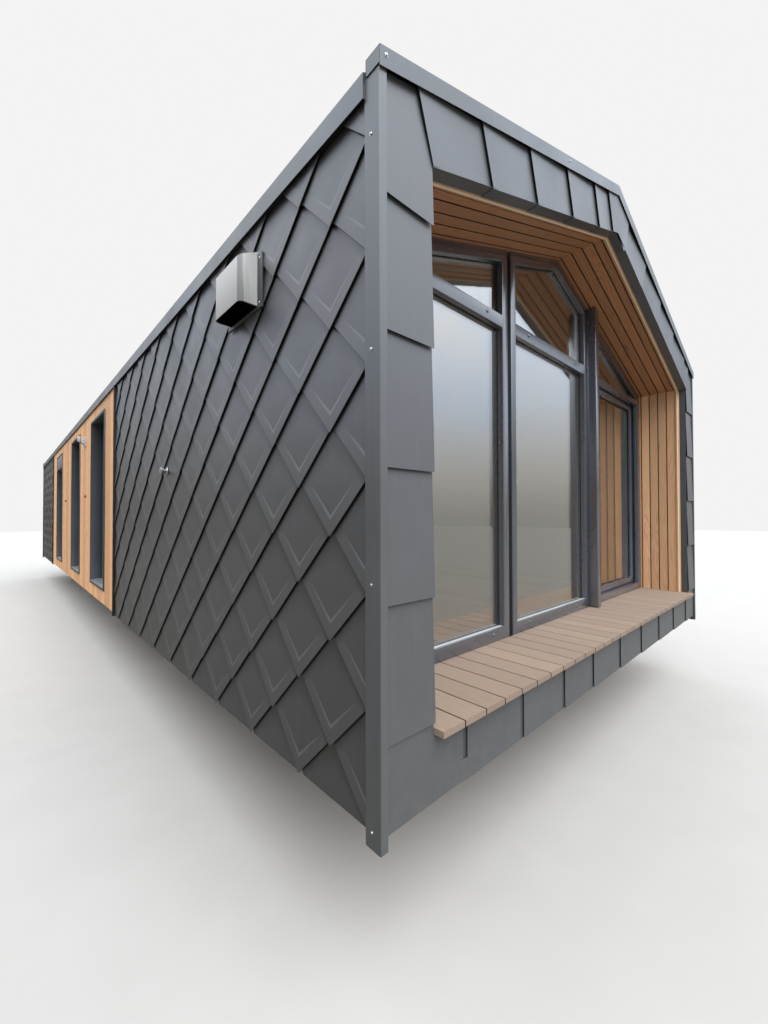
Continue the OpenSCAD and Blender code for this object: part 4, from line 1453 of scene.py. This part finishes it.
@dataclass
class Terrace:
    """The recess: deck, soffit, side reveals and the strip round the opening."""

    deck_pitch: float = 139.4
    deck_joint: float = -1833.0
    deck_gap: float = 7.0
    board_pitch: float = 77.0
    board_thick: float = 22.0
    groove: float = 9.5
    slit: float = 0.3
    soffit_start: float = 91.0
    soffit_count: int = 6
    mitre: float = 40.0
    reveal_over: float = 15.0
    nose: float = 13.0
    nose_y: float = 60.5
    nose_w: float = 40.0
    nose_rest: float = 1.0
    nose_steps: int = 8
    bead: float = 5.0
    bead_y: float = 72.0
    bead_w: float = 11.0
    bead_sunk: float = 2.5

    def deck(self, repeater: Repeater) -> None:
        """Lays the deck boards front to back and cuts the outer ones to the reveals."""
        house = HOUSE
        length = house.glazing_y + house.deck_nose
        plank = Plank(self.deck_pitch - self.deck_gap, length, house.deck_t - 0.5, painted_shade=0.85)
        first = self.deck_joint - self.deck_pitch + self.deck_gap / 2
        count = math.ceil((house.open_x - first) / self.deck_pitch)
        mesh = repeater.row(plank.mesh(X_WAY, Z_WAY, Y_WAY), "decking", count,
                            place(first, -house.deck_nose, house.deck_h), X_WAY * self.deck_pitch * MM, 21)
        cut_closed(mesh, [past_x(-house.open_x, -1), past_x(house.open_x, 1)])
        publish("deck_boards", mesh, ("terrace_deck",))

    def soffit(self, repeater: Repeater) -> None:
        """Lays the soffit boards along both slopes, mitred at the ridge."""
        house = HOUSE
        parts = []
        for side in (-1, 1):
            along = Vector((-side * math.cos(house.pitch), 0, math.sin(house.pitch)))
            down = Vector((-side * math.sin(house.pitch), 0, -math.cos(house.pitch)))
            run = (house.inner_x + self.mitre) / math.cos(house.pitch)
            plank = Plank(self.board_pitch, run, self.board_thick, self.groove)
            origin = place(side * house.inner_x, self.soffit_start, house.soffit(house.inner_x))
            mesh = repeater.row(plank.mesh(Y_WAY, down, along), "soffit_wood", self.soffit_count, origin,
                                Y_WAY * self.board_pitch * MM, 41 + side)
            cut_closed(mesh, [past_x(-side * self.slit, -side), past_y(house.lining_y + self.groove, -1),
                              past_y(house.lining_end, 1)])
            parts.append(mesh)
        solids = Solids()
        back = self.board_thick / math.cos(house.pitch)
        top = -house.roof_t + house.soffit_drop - 0.5
        for side in (-1, 1):
            outline = [(side * x, house.soffit(x, off)) for x, off in
                       ((0.5, back), (house.inner_x, back), (house.inner_x, top), (0.5, top))]
            solids.facade(outline, house.lining_y, house.lining_end, "shadow_wood")
        solids.publish("soffit_battens", "warm_boards", ("soffit_boards",))
        publish("soffit_planks", joined("soffit_planks", parts), ("soffit_boards",))

    def reveals(self, repeater: Repeater) -> None:
        """Lays the upright boards of both reveals, cut to the soffit's slope."""
        house = HOUSE
        parts = []
        count = math.ceil((house.lining_end - house.lining_y) / self.board_pitch)
        head = house.soffit(house.open_x)
        tall = head + self.reveal_over - house.floor_z
        plank = Plank(self.board_pitch, tall, self.board_thick, self.groove)
        for side in (-1, 1):
            origin = place(side * house.open_x, house.lining_y, house.floor_z)
            mesh = repeater.row(plank.mesh(Y_WAY, X_WAY * -side, Z_WAY), "reveal_wood", count, origin,
                                Y_WAY * self.board_pitch * MM, 51 + side)
            slope_out = Vector((side * math.sin(house.pitch), 0, math.cos(house.pitch)))
            cut_closed(mesh, [past_y(house.lining_end, 1),
                              (place(side * house.open_x, 0, head - self.slit), slope_out)])
            parts.append(mesh)
        publish("reveal_planks", joined("reveal_planks", parts), ("reveal_boards",))

    def nosing(self) -> None:
        """Rounds the strip along the soffit and down both reveals, with a pale bead on its crest that paints
        its highlight.
        """
        house = HOUSE
        solids = Solids()
        bead_base = self.nose - self.bead_sunk - self.nose_rest
        for start, wide, base, rise, finish in (
                (self.nose_y, self.nose_w, -self.nose_rest, self.nose, "strip_wood"),
                (self.bead_y, self.bead_w, bead_base, self.bead, "pale_strip")):
            curve = []
            for step in range(self.nose_steps + 1):
                angle = math.pi * step / self.nose_steps
                curve.append((start + wide * (1 - math.cos(angle)) / 2, base + rise * math.sin(angle)))
            for side in (-1, 1):
                slope = [[place(side * x, y, house.soffit(x, -drop)) for y, drop in curve]
                         for x in (self.slit, house.open_x)]
                upright = [[place(side * (house.open_x - drop), y, z) for y, drop in curve]
                           for z in (house.deck_h, house.soffit(house.open_x))]
                solids.prism(*slope, finish)
                solids.prism(*upright, finish)
        solids.publish("opening_nosing", "pale_strip")

    def build(self, repeater: Repeater) -> None:
        """Builds the whole recess."""
        self.deck(repeater)
        self.soffit(repeater)
        self.reveals(repeater)
        dress("opening_strip", "strip_wood")
        self.nosing()


@dataclass
class Bay:
    """One bay of the front glazing."""

    x0: float
    x1: float
    transom_h: float
    lower: bool = True
    frame_w: float = 60.0
    rail_h: float = 75.0
    head_bar: float = 74.0
    transom_z: float = 2270.0

    def lower_outline(self) -> list[Point2]:
        """Gives the lower pane's outline."""
        low = HOUSE.deck_h + self.rail_h
        left, right = self.x0 + self.frame_w, self.x1 - self.frame_w
        return [(left, low), (right, low), (right, self.transom_z), (left, self.transom_z)]

    def upper_outline(self) -> list[Point2]:
        """Gives the sloping top light's outline."""
        low = self.transom_z + self.transom_h
        left, right = self.x0 + self.frame_w, self.x1 - self.frame_w
        points = [(left, low), (right, low), (right, HOUSE.soffit(right, -self.head_bar))]
        if left < 0 < right:
            points.append((0.0, HOUSE.soffit(0, -self.head_bar)))
        return [*points, (left, HOUSE.soffit(left, -self.head_bar))]


def inset(outline: Sequence[Point2], width: float) -> list[Point2]:
    """Shrinks a convex anticlockwise outline.

    Args:
        outline: its corners.
        width: how far every side moves inwards.

    Returns:
        The new corners, in the same order.
    """
    count = len(outline)
    moved = []
    for i in range(count):
        before, here, after = Vector(outline[i - 1]), Vector(outline[i]), Vector(outline[(i + 1) % count])
        first, second = (here - before).normalized(), (after - here).normalized()
        normal_a, normal_b = Vector((-first.y, first.x)), Vector((-second.y, second.x))
        push = (normal_a + normal_b) / (1 + normal_a.dot(normal_b))
        moved.append(tuple(here + push * width))
    return moved


def border(outline: Sequence[Point2], width: float) -> list[list[Point2]]:
    """Gives the four-cornered pieces of a border along the inside of an outline."""
    inner = inset(outline, width)
    count = len(outline)
    return [[outline[i], outline[(i + 1) % count], inner[(i + 1) % count], inner[i]] for i in range(count)]


@dataclass
class Glazing:
    """The front glazing with its gaskets and weep caps, and the glass door."""

    bays: tuple[Bay, ...] = (
        Bay(-1960.0, -730.0, 78.0), Bay(-688.0, 552.0, 78.0), Bay(620.0, 1960.0, 50.0, lower=False))
    front_y: float = 420.0
    glass_y: float = 460.0
    glass_t: float = 24.0
    bead: float = 4.0
    stand: float = 3.0
    bite: float = 0.3
    ledge: float = 14.0
    leaf: tuple[Point2, ...] = ((740.0, 432.0), (1840.0, 432.0), (1840.0, 2210.0), (740.0, 2210.0))
    leaf_glass_y: float = 500.0
    leaf_stand: float = 6.0
    weeps: tuple[Point2, ...] = (
        (-960.0, 2318.0), (-455.0, 2317.0), (-911.0, 353.0), (-467.0, 356.0), (-1760.0, 2318.0),
        (-1760.0, 353.0), (300.0, 2318.0), (300.0, 354.0))
    weep_steps: tuple[Point2, ...] = ((-1.0, 11.0), (3.0, 11.0), (5.5, 8.0), (6.0, 4.0))

    def beads(self, solids: Solids, outline: Sequence[Point2], front: float, stand: float) -> None:
        """Adds the rubber beads before and behind a pane.

        Args:
            solids: where they go.
            outline: the pane's outline in X and Z.
            front: the pane's front face.
            stand: how far the beads stand off the pane.
        """
        back = front + self.glass_t
        for y0, y1 in ((front - stand, front + self.bite), (back - self.bite, back + stand)):
            for quad in border(outline, self.bead):
                solids.facade(quad, y0, y1, "gasket")

    def build(self) -> None:
        """Builds the beads and dresses frames and glass."""
        solids = Solids()
        for bay in self.bays:
            outlines = [bay.upper_outline()]
            if bay.lower:
                outlines.append(bay.lower_outline())
            for outline in outlines:
                self.beads(solids, outline, self.glass_y, self.stand)
        # Painted shade: a near-black plate in front of the recessed joint between the first two bays.
        near, far = self.bays[0].x1 + 1.0, self.bays[1].x0 - 1.0
        joint = [(near, HOUSE.deck_h), (far, HOUSE.deck_h), (far, HOUSE.soffit(far, -1)),
                 (near, HOUSE.soffit(near, -1))]
        solids.facade(joint, self.front_y + 18.0, self.front_y + 19.9, "gasket")
        solids.publish("front_gaskets", "window_frame", smooth=None)
        solids = Solids()
        for bay in self.bays:
            if bay.lower:
                (left, low), (right, _) = bay.lower_outline()[:2]
                solids.box((left, self.front_y + self.ledge, low),
                           (right, self.glass_y - self.stand, low + 1.5), "ledge_metal")
        solids.publish("glass_ledges", "sill_metal", smooth=None)
        solids = Solids()
        for x, z in self.weeps:
            solids.lathe(place(x, self.front_y, z), -Y_WAY, self.weep_steps, "window_frame", 16)
        solids.publish("weep_caps", "window_frame")
        for node in ("left_light_frame", "middle_light_frame", "glazing_posts", "door_frame"):
            softened(node, "window_frame", 2.0)
        for node in ("front_glass", "door_glass", "window_glass"):
            dress(node, "glass")
        solids = Solids()
        self.beads(solids, self.leaf, self.leaf_glass_y, self.leaf_stand)
        solids.publish("door_gaskets", "window_frame", smooth=None, body="terrace_door")
        softened("door_leaf", "window_frame", 1.5, "terrace_door")
        softened("door_handle", "bare_steel", 1.0, "terrace_door")
        softened("door_hinges", "bare_steel", 0.6)


@dataclass
class SideWindows:
    """The six side windows: linings, sills, frames and gaskets."""

    lining: float = 30.0
    sash: float = 65.0
    bead: float = 7.0
    beds: tuple[Point2, ...] = ((2088.0, 2081.7), (2058.3, 2052.0))

    def build(self) -> None:
        """Builds the gaskets and dresses the rest."""
        house = HOUSE
        solids = Solids()
        edge = self.lining + self.sash
        for side in (-1, 1):
            for start in house.window_ys:
                end, low, high = start + house.window_w - edge, house.window_z + edge, house.window_top - edge
                outline = [(start + edge, low), (end, low), (end, high), (start + edge, high)]
                for quad in border(outline, self.bead):
                    for x0, x1 in self.beds:
                        solids.prism([place(side * x0, y, z) for y, z in quad],
                                     [place(side * x1, y, z) for y, z in quad], "gasket")
        solids.publish("side_gaskets", "window_frame", smooth=None)
        softened("window_linings", "lining_metal", 1.5)
        softened("window_frames", "lining_metal", 2.0)
        softened("window_sills", "sill_metal", 0.8)
        softened("blind_box", "blind_metal", 3.0)


def screw_head(name: str, steps: Sequence[Point2]) -> bpy.types.Mesh:
    """Turns a screw head standing on Z from the height and radius of each ring."""
    solids = Solids()
    solids.lathe(Vector((0, 0, 0)), Z_WAY, steps, "bare_steel", 12)
    return solids.mesh(name)


@dataclass
class Trims:
    """Folded trims with their screws."""

    cap_half: float = 140.0
    cap_thick: float = 2.0
    cover: float = 35.0
    cap_top: float = 12.0
    cap_front: float = 14.0
    cap_depth: float = 71.0
    ridge_end: float = 62.0
    ridge_count: int = 5
    ridge_gap: float = 2.0
    verge_h: float = 58.0
    drip: float = 12.0
    screw_y: float = 36.0
    screw_zs: tuple[float, ...] = (55.0, 849.0, 1618.0, 2330.0)
    verge_screw_xs: tuple[float, ...] = (2205.0, 800.0)
    ridge_screws: int = 24
    ridge_screw_x: float = 110.0
    ridge_screw_y: float = 300.0
    ridge_screw_step: float = 577.0
    corner_front: float = 6.0
    corner_w: float = 33.0
    corner_t: float = 1.0
    corner_bend: float = 2.5
    corner_side: float = 67.0
    flange_y: float = 9.5
    core_y: float = 40.0
    eave_proud: float = 10.0
    eave_low: float = 2465.0
    eave_top: float = 2553.0

    def corners(self) -> None:
        """Folds the corner trims from sheet, with a flange over the gable's sheets."""
        house = HOUSE
        near, bend = -self.corner_front, self.corner_bend
        outer, inner, back = house.half_w, house.half_w - self.corner_w, house.half_w - self.corner_t
        plan = [(outer, near + bend), (outer - bend, near), (inner, near), (inner, self.flange_y),
                (house.wall_x, self.flange_y), (house.wall_x, self.core_y), (back, self.core_y),
                (back, self.corner_side), (outer, self.corner_side)]
        for name, start, way in (("front", 0.0, 1), ("back", house.length, -1)):
            solids = Solids()
            for side in (-1, 1):
                low = [place(side * x, start + way * y, 0) for x, y in plan]
                high = [place(side * x, start + way * y, house.verge(x)) for x, y in plan]
                solids.prism(low, high, "metal_trim")
            sheets = solids.mesh(f"{name}_corner_sheets", FOLDED)
            # Painted light: faces looking to the front or back get a lighter copy of the trim metal.
            sheets.materials.append(FINISHES.get("metal_flange"))
            for face in sheets.polygons:
                if abs(face.normal.y) > 0.9:
                    face.material_index = 1
            publish(f"{name}_corner_sheets", sheets, (f"{name}_corner_trims",))

    def eaves(self) -> None:
        """Folds the eave fascias from sheet, open below, with closed ends and near-black battens behind that
        paint the shade inside.
        """
        house = HOUSE
        outer, inner = house.half_w + self.eave_proud, house.wall_x
        thick = self.cap_thick
        rest = house.verge(inner, self.cover + 2.0)
        sheet = [(outer, self.eave_low), (outer, self.eave_top), (inner, rest), (inner, rest - thick),
                 (outer - thick, self.eave_top - thick), (outer - thick, self.eave_low)]
        ends = [(outer, self.eave_low), (outer, self.eave_top), (inner, rest), (inner, self.eave_low + 14.0)]
        face, foot = house.half_w - 2.0, self.eave_low + 20.0
        batten = [(face, foot), (face, house.verge(house.half_w)), (inner, house.verge(inner)), (inner, foot)]
        start, end = self.corner_side, house.length - self.corner_side
        # The battens take the near-black gasket finish as painted shade behind the fascia.
        lengths = ((sheet, start, end, "metal_trim"), (ends, start - thick, start, "metal_trim"),
                   (ends, end, end + thick, "metal_trim"), (batten, start + 1, end - 1, "gasket"))
        solids = Solids()
        for side in (-1, 1):
            for outline, y0, y1, finish in lengths:
                solids.facade([(side * x, z) for x, z in outline], y0, y1, finish)
        solids.publish("eave_sheets", "metal_trim", ("eave_fascias",), FOLDED)

    def ridge(self) -> None:
        """Builds the ridge cap as one folded sheet with turned-down edges."""
        house = HOUSE
        solids = Solids()
        top = [(x, house.verge(x, self.cover + self.cap_top)) for x in (-self.cap_half, 0.0, self.cap_half)]
        low = [(x, house.verge(x, self.cover + self.cap_top - self.cap_thick)) for x in
               (self.cap_half - self.cap_thick, 0.0, self.cap_thick - self.cap_half)]
        foot = house.verge(self.cap_half, self.cover + 0.5)
        outline = [*top, (self.cap_half, foot), (self.cap_half - self.cap_thick, foot), *low,
                   (self.cap_thick - self.cap_half, foot), (-self.cap_half, foot)]
        step = (house.length - 2 * self.ridge_end) / self.ridge_count
        for number in range(self.ridge_count):
            start = self.ridge_end + number * step
            solids.facade(outline, start, start + step - self.ridge_gap, "metal_trim")
        solids.publish("ridge_sheet", "metal_trim", ("ridge_cap",), FOLDED)

    def verges(self) -> None:
        """Builds the verge caps as folded sheets, open below, with a drip edge in front."""
        house = HOUSE
        for name, front, way in (("front", -self.cap_front, 1), ("back", house.length + self.cap_front, -1)):
            solids = Solids()
            for side in (-1, 1):
                outer = house.half_w + 4.0

                def band(low: float, high: float, start: float = 0.0, end: float = outer) -> list[Point2]:
                    return [(side * x, house.verge(x, off)) for x, off in
                            ((start, low), (end, low), (end, high), (start, high))]

                def layer(outline: list[Point2], near: float, far: float) -> None:
                    ends = sorted((front + way * near, front + way * far))
                    solids.facade(outline, ends[0], ends[1], "metal_trim")

                thick = self.cap_thick
                layer(band(-self.drip, self.verge_h), 0.0, thick)
                layer(band(self.verge_h - thick, self.verge_h), thick * 0.5, self.cap_depth)
                layer(band(0.2, self.verge_h), self.cap_depth - thick, self.cap_depth)
                layer(band(0.2, self.verge_h, outer - thick, outer), thick * 0.5, self.cap_depth)
            solids.publish(f"{name}_verge_sheets", "metal_trim", (f"{name}_verge_caps",), FOLDED)

    def screws(self, repeater: Repeater) -> None:
        """Sets the screws of the corner trims, the ridge cap and the verge caps."""
        house = HOUSE
        x = self.ridge_screw_x
        top = house.verge(x, self.cover + self.cap_top)
        spots = []
        for side in (-1, 1):
            for y in (self.screw_y, house.length - self.screw_y):
                spots += [(place(side * house.half_w, y, z), X_WAY * side) for z in self.screw_zs]
            slope = Vector((side * math.sin(house.pitch), 0, math.cos(house.pitch)))
            for i in range(self.ridge_screws):
                spots.append((place(side * x, self.ridge_screw_y + i * self.ridge_screw_step, top), slope))
            for y, way in ((-self.cap_front, -1), (house.length + self.cap_front, 1)):
                spots += [(place(side * at, y, house.verge(at, 30)), Y_WAY * way)
                          for at in self.verge_screw_xs]
        head = screw_head("screw_head", ((-1.0, 7.0), (0.8, 7.0), (1.2, 5.2), (3.6, 4.4), (4.6, 2.6)))
        publish("trim_screws", repeater.studs(head, "bare_steel", spots))

    def build(self, repeater: Repeater) -> None:
        """Folds every trim and sets the screws."""
        self.corners()
        self.eaves()
        self.verges()
        self.ridge()
        self.screws(repeater)


@dataclass
class Fittings:
    """Vent hood, tap socket and wall lamp of the left side."""

    face_x: float = -2222.0
    hood_y: float = 847.0
    hood_w: float = 300.0
    hood_z: float = 2066.0
    hood_h: float = 262.0
    flange_w: float = 40.0
    flange_d: float = 10.0
    flange_drop: float = 15.0
    grille_d: float = 88.0
    grille_gap: float = 12.0
    grille_t: float = 4.0
    screw_in: float = 25.0
    tap_y: float = 2306.0
    tap_z: float = 1411.0
    tap_steps: tuple[Point2, ...] = (
        (-1.0, 27.5), (3.0, 28.0), (6.0, 26.0), (7.0, 15.0), (28.0, 14.0), (29.0, 23.0), (31.0, 25.0),
        (44.0, 25.0), (46.0, 23.0), (46.2, 13.0), (36.0, 12.0))
    lamp_y: float = 6230.0
    lamp_z: float = 2085.0
    lamp_half: float = 44.0
    lamp_wedge: tuple[Point2, ...] = ((13.0, 22.0), (56.0, 50.0), (56.0, 112.0), (13.0, 138.0))
    lamp_front: tuple[Point2, ...] = ((66.0, 58.0), (95.0, 74.0), (95.0, 134.0), (66.0, 140.0))

    def hood(self, repeater: Repeater) -> None:
        """Softens the hood, paints shade on its underside, flanges and corner band, and screws its flanges
        down.
        """
        hood = softened("vent_hood", "hood_metal", 1.5)
        for finish in ("hood_bend", "hood_flange", "hood_inside"):
            hood.data.materials.append(FINISHES.get(finish))
        flange = place(self.face_x - self.flange_d - 1.0, 0, 0).x
        y0, y1 = self.hood_y, self.hood_y + self.hood_w
        for face in hood.data.polygons:
            # Painted shade: the underside is near-black.
            if face.normal.z < -0.6:
                face.material_index = 3
            # Painted shade: the flanges against the wall get a dark copy of the hood's metal.
            elif face.center.x > flange:
                face.material_index = 2
            # Painted shade: the rounded corner band gets a darker copy of the hood's metal.
            elif abs(face.normal.x) > 0.2 and abs(face.normal.y) > 0.2:
                face.material_index = 1
        solids = Solids()
        gap = self.grille_gap
        low = self.hood_z + gap
        # Painted shade: the grille in the hood's opening gets the near-black underside finish.
        solids.box((self.face_x - self.grille_d, y0 + gap, low),
                   (self.face_x - 1, y1 - gap, low + self.grille_t), "hood_inside")
        solids.publish("hood_grille", "hood_metal")
        foot = self.hood_z - self.flange_drop
        spots = [(place(self.face_x - self.flange_d, y, z), -X_WAY)
                 for y in (y0 - self.flange_w / 2, y1 + self.flange_w / 2)
                 for z in (foot + self.screw_in, foot + self.hood_h - self.screw_in)]
        head = screw_head("hood_screw_head", ((-1.0, 6.5), (0.6, 6.5), (1.0, 5.0), (3.4, 4.2), (4.4, 2.4)))
        publish("hood_screws", repeater.studs(head, "bare_steel", spots))

    def tap(self) -> None:
        """Turns the tap socket with its rose, nut and open end."""
        solids = Solids()
        solids.lathe(place(self.face_x, self.tap_y, self.tap_z), -X_WAY, self.tap_steps, "bare_steel", 36)
        solids.publish("tap_socket_turned", "bare_steel", ("tap_socket",))

    def lamp(self) -> None:
        """Builds the lamp: a back plate, a wedge on it and a front light past a near-black box that paints
        the shade in the gap.
        """
        solids = Solids()
        x, y, z, half = self.face_x, self.lamp_y, self.lamp_z, self.lamp_half
        solids.box((x - 14, y - half - 1, z), (x + 1, y + half + 1, z + 140), "hood_metal")
        # Painted shade: a near-black box in the gap between the wedge and the front light.
        solids.box((x - 67, y - half + 8, z + 60), (x - 55, y + half - 8, z + 116), "lamp_dark")
        for outline in (self.lamp_wedge, self.lamp_front):
            solids.facade([(x - out, z + up) for out, up in outline], y - half, y + half, "hood_metal")
        round_edges(solids.bm, 3.0)
        solids.publish("lamp_head", "hood_metal", ("wall_lamp",))

    def build(self, repeater: Repeater) -> None:
        """Builds the three fittings."""
        self.hood(repeater)
        self.tap()
        self.lamp()


@dataclass
class Carcass:
    """What carries the house and what lies inside: piers, steel, platform, floor and linings."""

    pad_w: float = 500.0
    pad_h: float = 80.0
    pier_w: float = 390.0
    pier_h: float = 410.0
    joint: float = 6.0
    joint_in: float = 14.0
    pitch: tuple[float, float] = (1450.0, 2900.0)
    floor_pitch: float = 160.0
    floor_t: float = 30.0
    back_wall: float = 240.0

    def piers(self, repeater: Repeater) -> None:
        """Builds one pier of a pad and two blocks, and sets it under each crossing."""
        solids = Solids()
        middle, ground = HOUSE.length / 2, -HOUSE.base_z
        half = (self.pier_h - self.pad_h) / 2
        tops = [self.pad_h + half, self.pad_h + 2 * half]
        rows = [(self.pad_w, 0.0, self.pad_h)]
        rows += [(self.pier_w, top - half, top - self.joint) for top in tops]
        rows += [(self.pier_w - self.joint_in, top - self.joint - 1, top) for top in tops]
        for wide, low, high in rows:
            arm = wide / 2
            solids.box((-arm, middle - arm, ground + low), (arm, middle + arm, ground + high), "concrete")
        round_edges(solids.bm, 5.0)
        pattern = solids.mesh("pier")
        across, along = self.pitch
        parts = [repeater.row(pattern.copy(), "concrete", 5, Vector((i * across, -2 * along, 0)) * MM,
                              Y_WAY * along * MM, 60 + i) for i in (-1, 0, 1)]
        publish("block_piers", joined("block_piers", parts), ("piers",))

    def floor(self, repeater: Repeater) -> None:
        """Lays the room's floorboards."""
        house = HOUSE
        end = house.length - self.back_wall
        plank = Plank(self.floor_pitch, end - house.lining_end, self.floor_t, arris=1.0)
        count = math.ceil(2 * house.inner_x / self.floor_pitch)
        first = place(-house.inner_x, house.lining_end, house.deck_h)
        mesh = repeater.row(plank.mesh(X_WAY, Z_WAY, Y_WAY), "floor_wood", count, first,
                            X_WAY * self.floor_pitch * MM, 81)
        cut_closed(mesh, [past_x(house.inner_x, 1)])
        solids = Solids()
        # Painted shade: a near-black block fills the space under the glazing, between deck and room floor.
        solids.box((-house.open_x, house.glazing_y, house.floor_z),
                   (house.open_x, house.lining_end, house.deck_h), "gasket")
        solids.box((-house.inner_x, house.lining_end, house.floor_z),
                   (house.inner_x, end, house.deck_h - self.floor_t - 0.5), "floor_core")
        solids.publish("floor_bed", "floor_wood", ("floor_finish",))
        publish("floor_boards", mesh, ("floor_finish",))

    def build(self, repeater: Repeater) -> None:
        """Builds the piers and the floor and dresses the rest."""
        self.piers(repeater)
        self.floor(repeater)
        softened("runners", "frame_steel", 1.0)
        softened("cross_members", "frame_steel", 1.0)
        dress("floor_platform", "floor_core")
        dress("deck_bearers", "floor_core")
        for node in ("left_wall", "right_wall", "back_wall", "roof_left", "roof_right"):
            dress(node, "white_lining")


@dataclass
class Studio:
    """Pale floor, soft light and the camera at the photograph's viewing angle."""

    eye: tuple[float, float, float] = (-3115.9, -978.7, 1067.4)
    yaw: float = 0.7481
    rise: float = 0.0139
    roll: float = -0.0022
    focal: float = 414.48
    frame_h: float = 1024.0
    sensor: float = 36.0
    backdrop: float = 0.9
    zenith: float = 1.55
    horizon: float = 0.34
    mirrored_low: float = 0.2
    mirrored_high: float = 1.85
    mirrored_end: float = 0.6
    lamp_energy: float = 2.5
    lamp_spread: float = 55.0
    lamp_way: tuple[float, float, float] = (0.14, 0.66, -0.8)

    def camera(self) -> None:
        """Sets the camera by the angles fitted to the photograph."""
        data = bpy.data.cameras.new("camera")
        data.sensor_width = self.sensor
        data.lens = self.focal / self.frame_h * self.sensor
        data.clip_start = 0.05
        data.clip_end = 200.0
        camera = bpy.data.objects.new("camera", data)
        ahead = Vector((math.sin(self.yaw) * math.cos(self.rise), math.cos(self.yaw) * math.cos(self.rise),
                        math.sin(self.rise)))
        turn = ahead.to_track_quat("-Z", "Y").to_matrix().to_4x4()
        camera.matrix_world = Matrix.Translation(place(*self.eye)) @ turn @ Matrix.Rotation(self.roll, 4, "Z")
        bpy.context.scene.collection.objects.link(camera)
        bpy.context.scene.camera = camera

    def floor(self) -> None:
        """Lays the pale floor, which keeps the object's shadow."""
        size = 60.0
        corners = [(-size, -size, 0), (size, -size, 0), (size, size, 0), (-size, size, 0)]
        mesh = bpy.data.meshes.new("floor")
        mesh.from_pydata(corners, [], [(0, 1, 2, 3)])
        material, tree, shader = start_material("floor")
        soft = tree.noise(tree.place(), 3.0, 3.0)
        pale = tree.blend(tree.span(soft, 0.3, 0.7), (0.52, 0.52, 0.515, 1.0), (0.54, 0.54, 0.535, 1.0))
        camera = tree.node("ShaderNodeLightPath").outputs["Is Camera Ray"]
        tree.link(tree.blend(camera, (0.18, 0.168, 0.145, 1.0), pale), shader.inputs["Base Color"])
        set_sockets(shader, {"Roughness": 0.9})
        mesh.materials.append(material)
        floor = bpy.data.objects.new("floor", mesh)
        bpy.context.scene.collection.objects.link(floor)

    def light(self) -> None:
        """Sets the soft sky and one broad lamp."""
        world = bpy.data.worlds.new("studio")
        bpy.context.scene.world = world
        world.use_nodes = True
        tree = Tree(world.node_tree)
        background = world.node_tree.nodes["Background"]
        path = tree.node("ShaderNodeLightPath").outputs
        seen = tree.math("MAXIMUM", path["Is Camera Ray"], path["Is Transmission Ray"])
        way = tree.node("ShaderNodeTexCoord").outputs["Generated"]
        height = tree.part(way, "Z")
        mirrored = tree.span(height, 0.0, self.mirrored_end, self.mirrored_low, self.mirrored_high)
        glossy = path["Is Glossy Ray"]
        strength = tree.span(height, 0.0, 0.9, self.horizon, self.zenith)
        for share, level in ((glossy, mirrored), (seen, self.backdrop)):
            strength = tree.math("ADD", tree.math("MULTIPLY", tree.math("SUBTRACT", 1.0, share), strength),
                                 tree.math("MULTIPLY", share, level))
        tree.link(strength, background.inputs["Strength"])
        cloud = tree.span(tree.noise(way, 4.0, 4.0), 0.35, 0.65)
        above = tree.blend(cloud, (0.8, 0.95, 1.17, 1.0), (1.02, 1.04, 1.08, 1.0))
        tint = tree.blend(tree.span(height, 0.04, 0.25), (1.0, 0.9, 0.74, 1.0), above)
        tinted = tree.math("MULTIPLY", glossy, tree.math("SUBTRACT", 1.0, seen))
        tree.link(tree.blend(tinted, WHITE, tint), background.inputs["Color"])
        data = bpy.data.lights.new("broad_lamp", "SUN")
        data.energy = self.lamp_energy
        data.angle = math.radians(self.lamp_spread)
        lamp = bpy.data.objects.new("broad_lamp", data)
        lamp.rotation_euler = Vector(self.lamp_way).to_track_quat("-Z", "Y").to_euler()
        bpy.context.scene.collection.objects.link(lamp)

    def build(self) -> None:
        """Sets the whole studio."""
        bpy.context.scene.view_settings.view_transform = "Standard"
        self.floor()
        self.light()
        self.camera()


def main() -> None:
    """Builds the classes in order."""
    logging.basicConfig(level=logging.INFO, format="%(name)s: %(message)s")
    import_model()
    Studio().build()
    repeater = Repeater()
    Carcass().build(repeater)
    TiledFaces().build(repeater)
    LappedSheets().build()
    boards = BoardedSides()
    boards.build(repeater)
    boards.catches()
    Terrace().build(repeater)
    Glazing().build()
    SideWindows().build()
    Trims().build(repeater)
    Fittings().build(repeater)


if __name__ == "__main__":
    main()
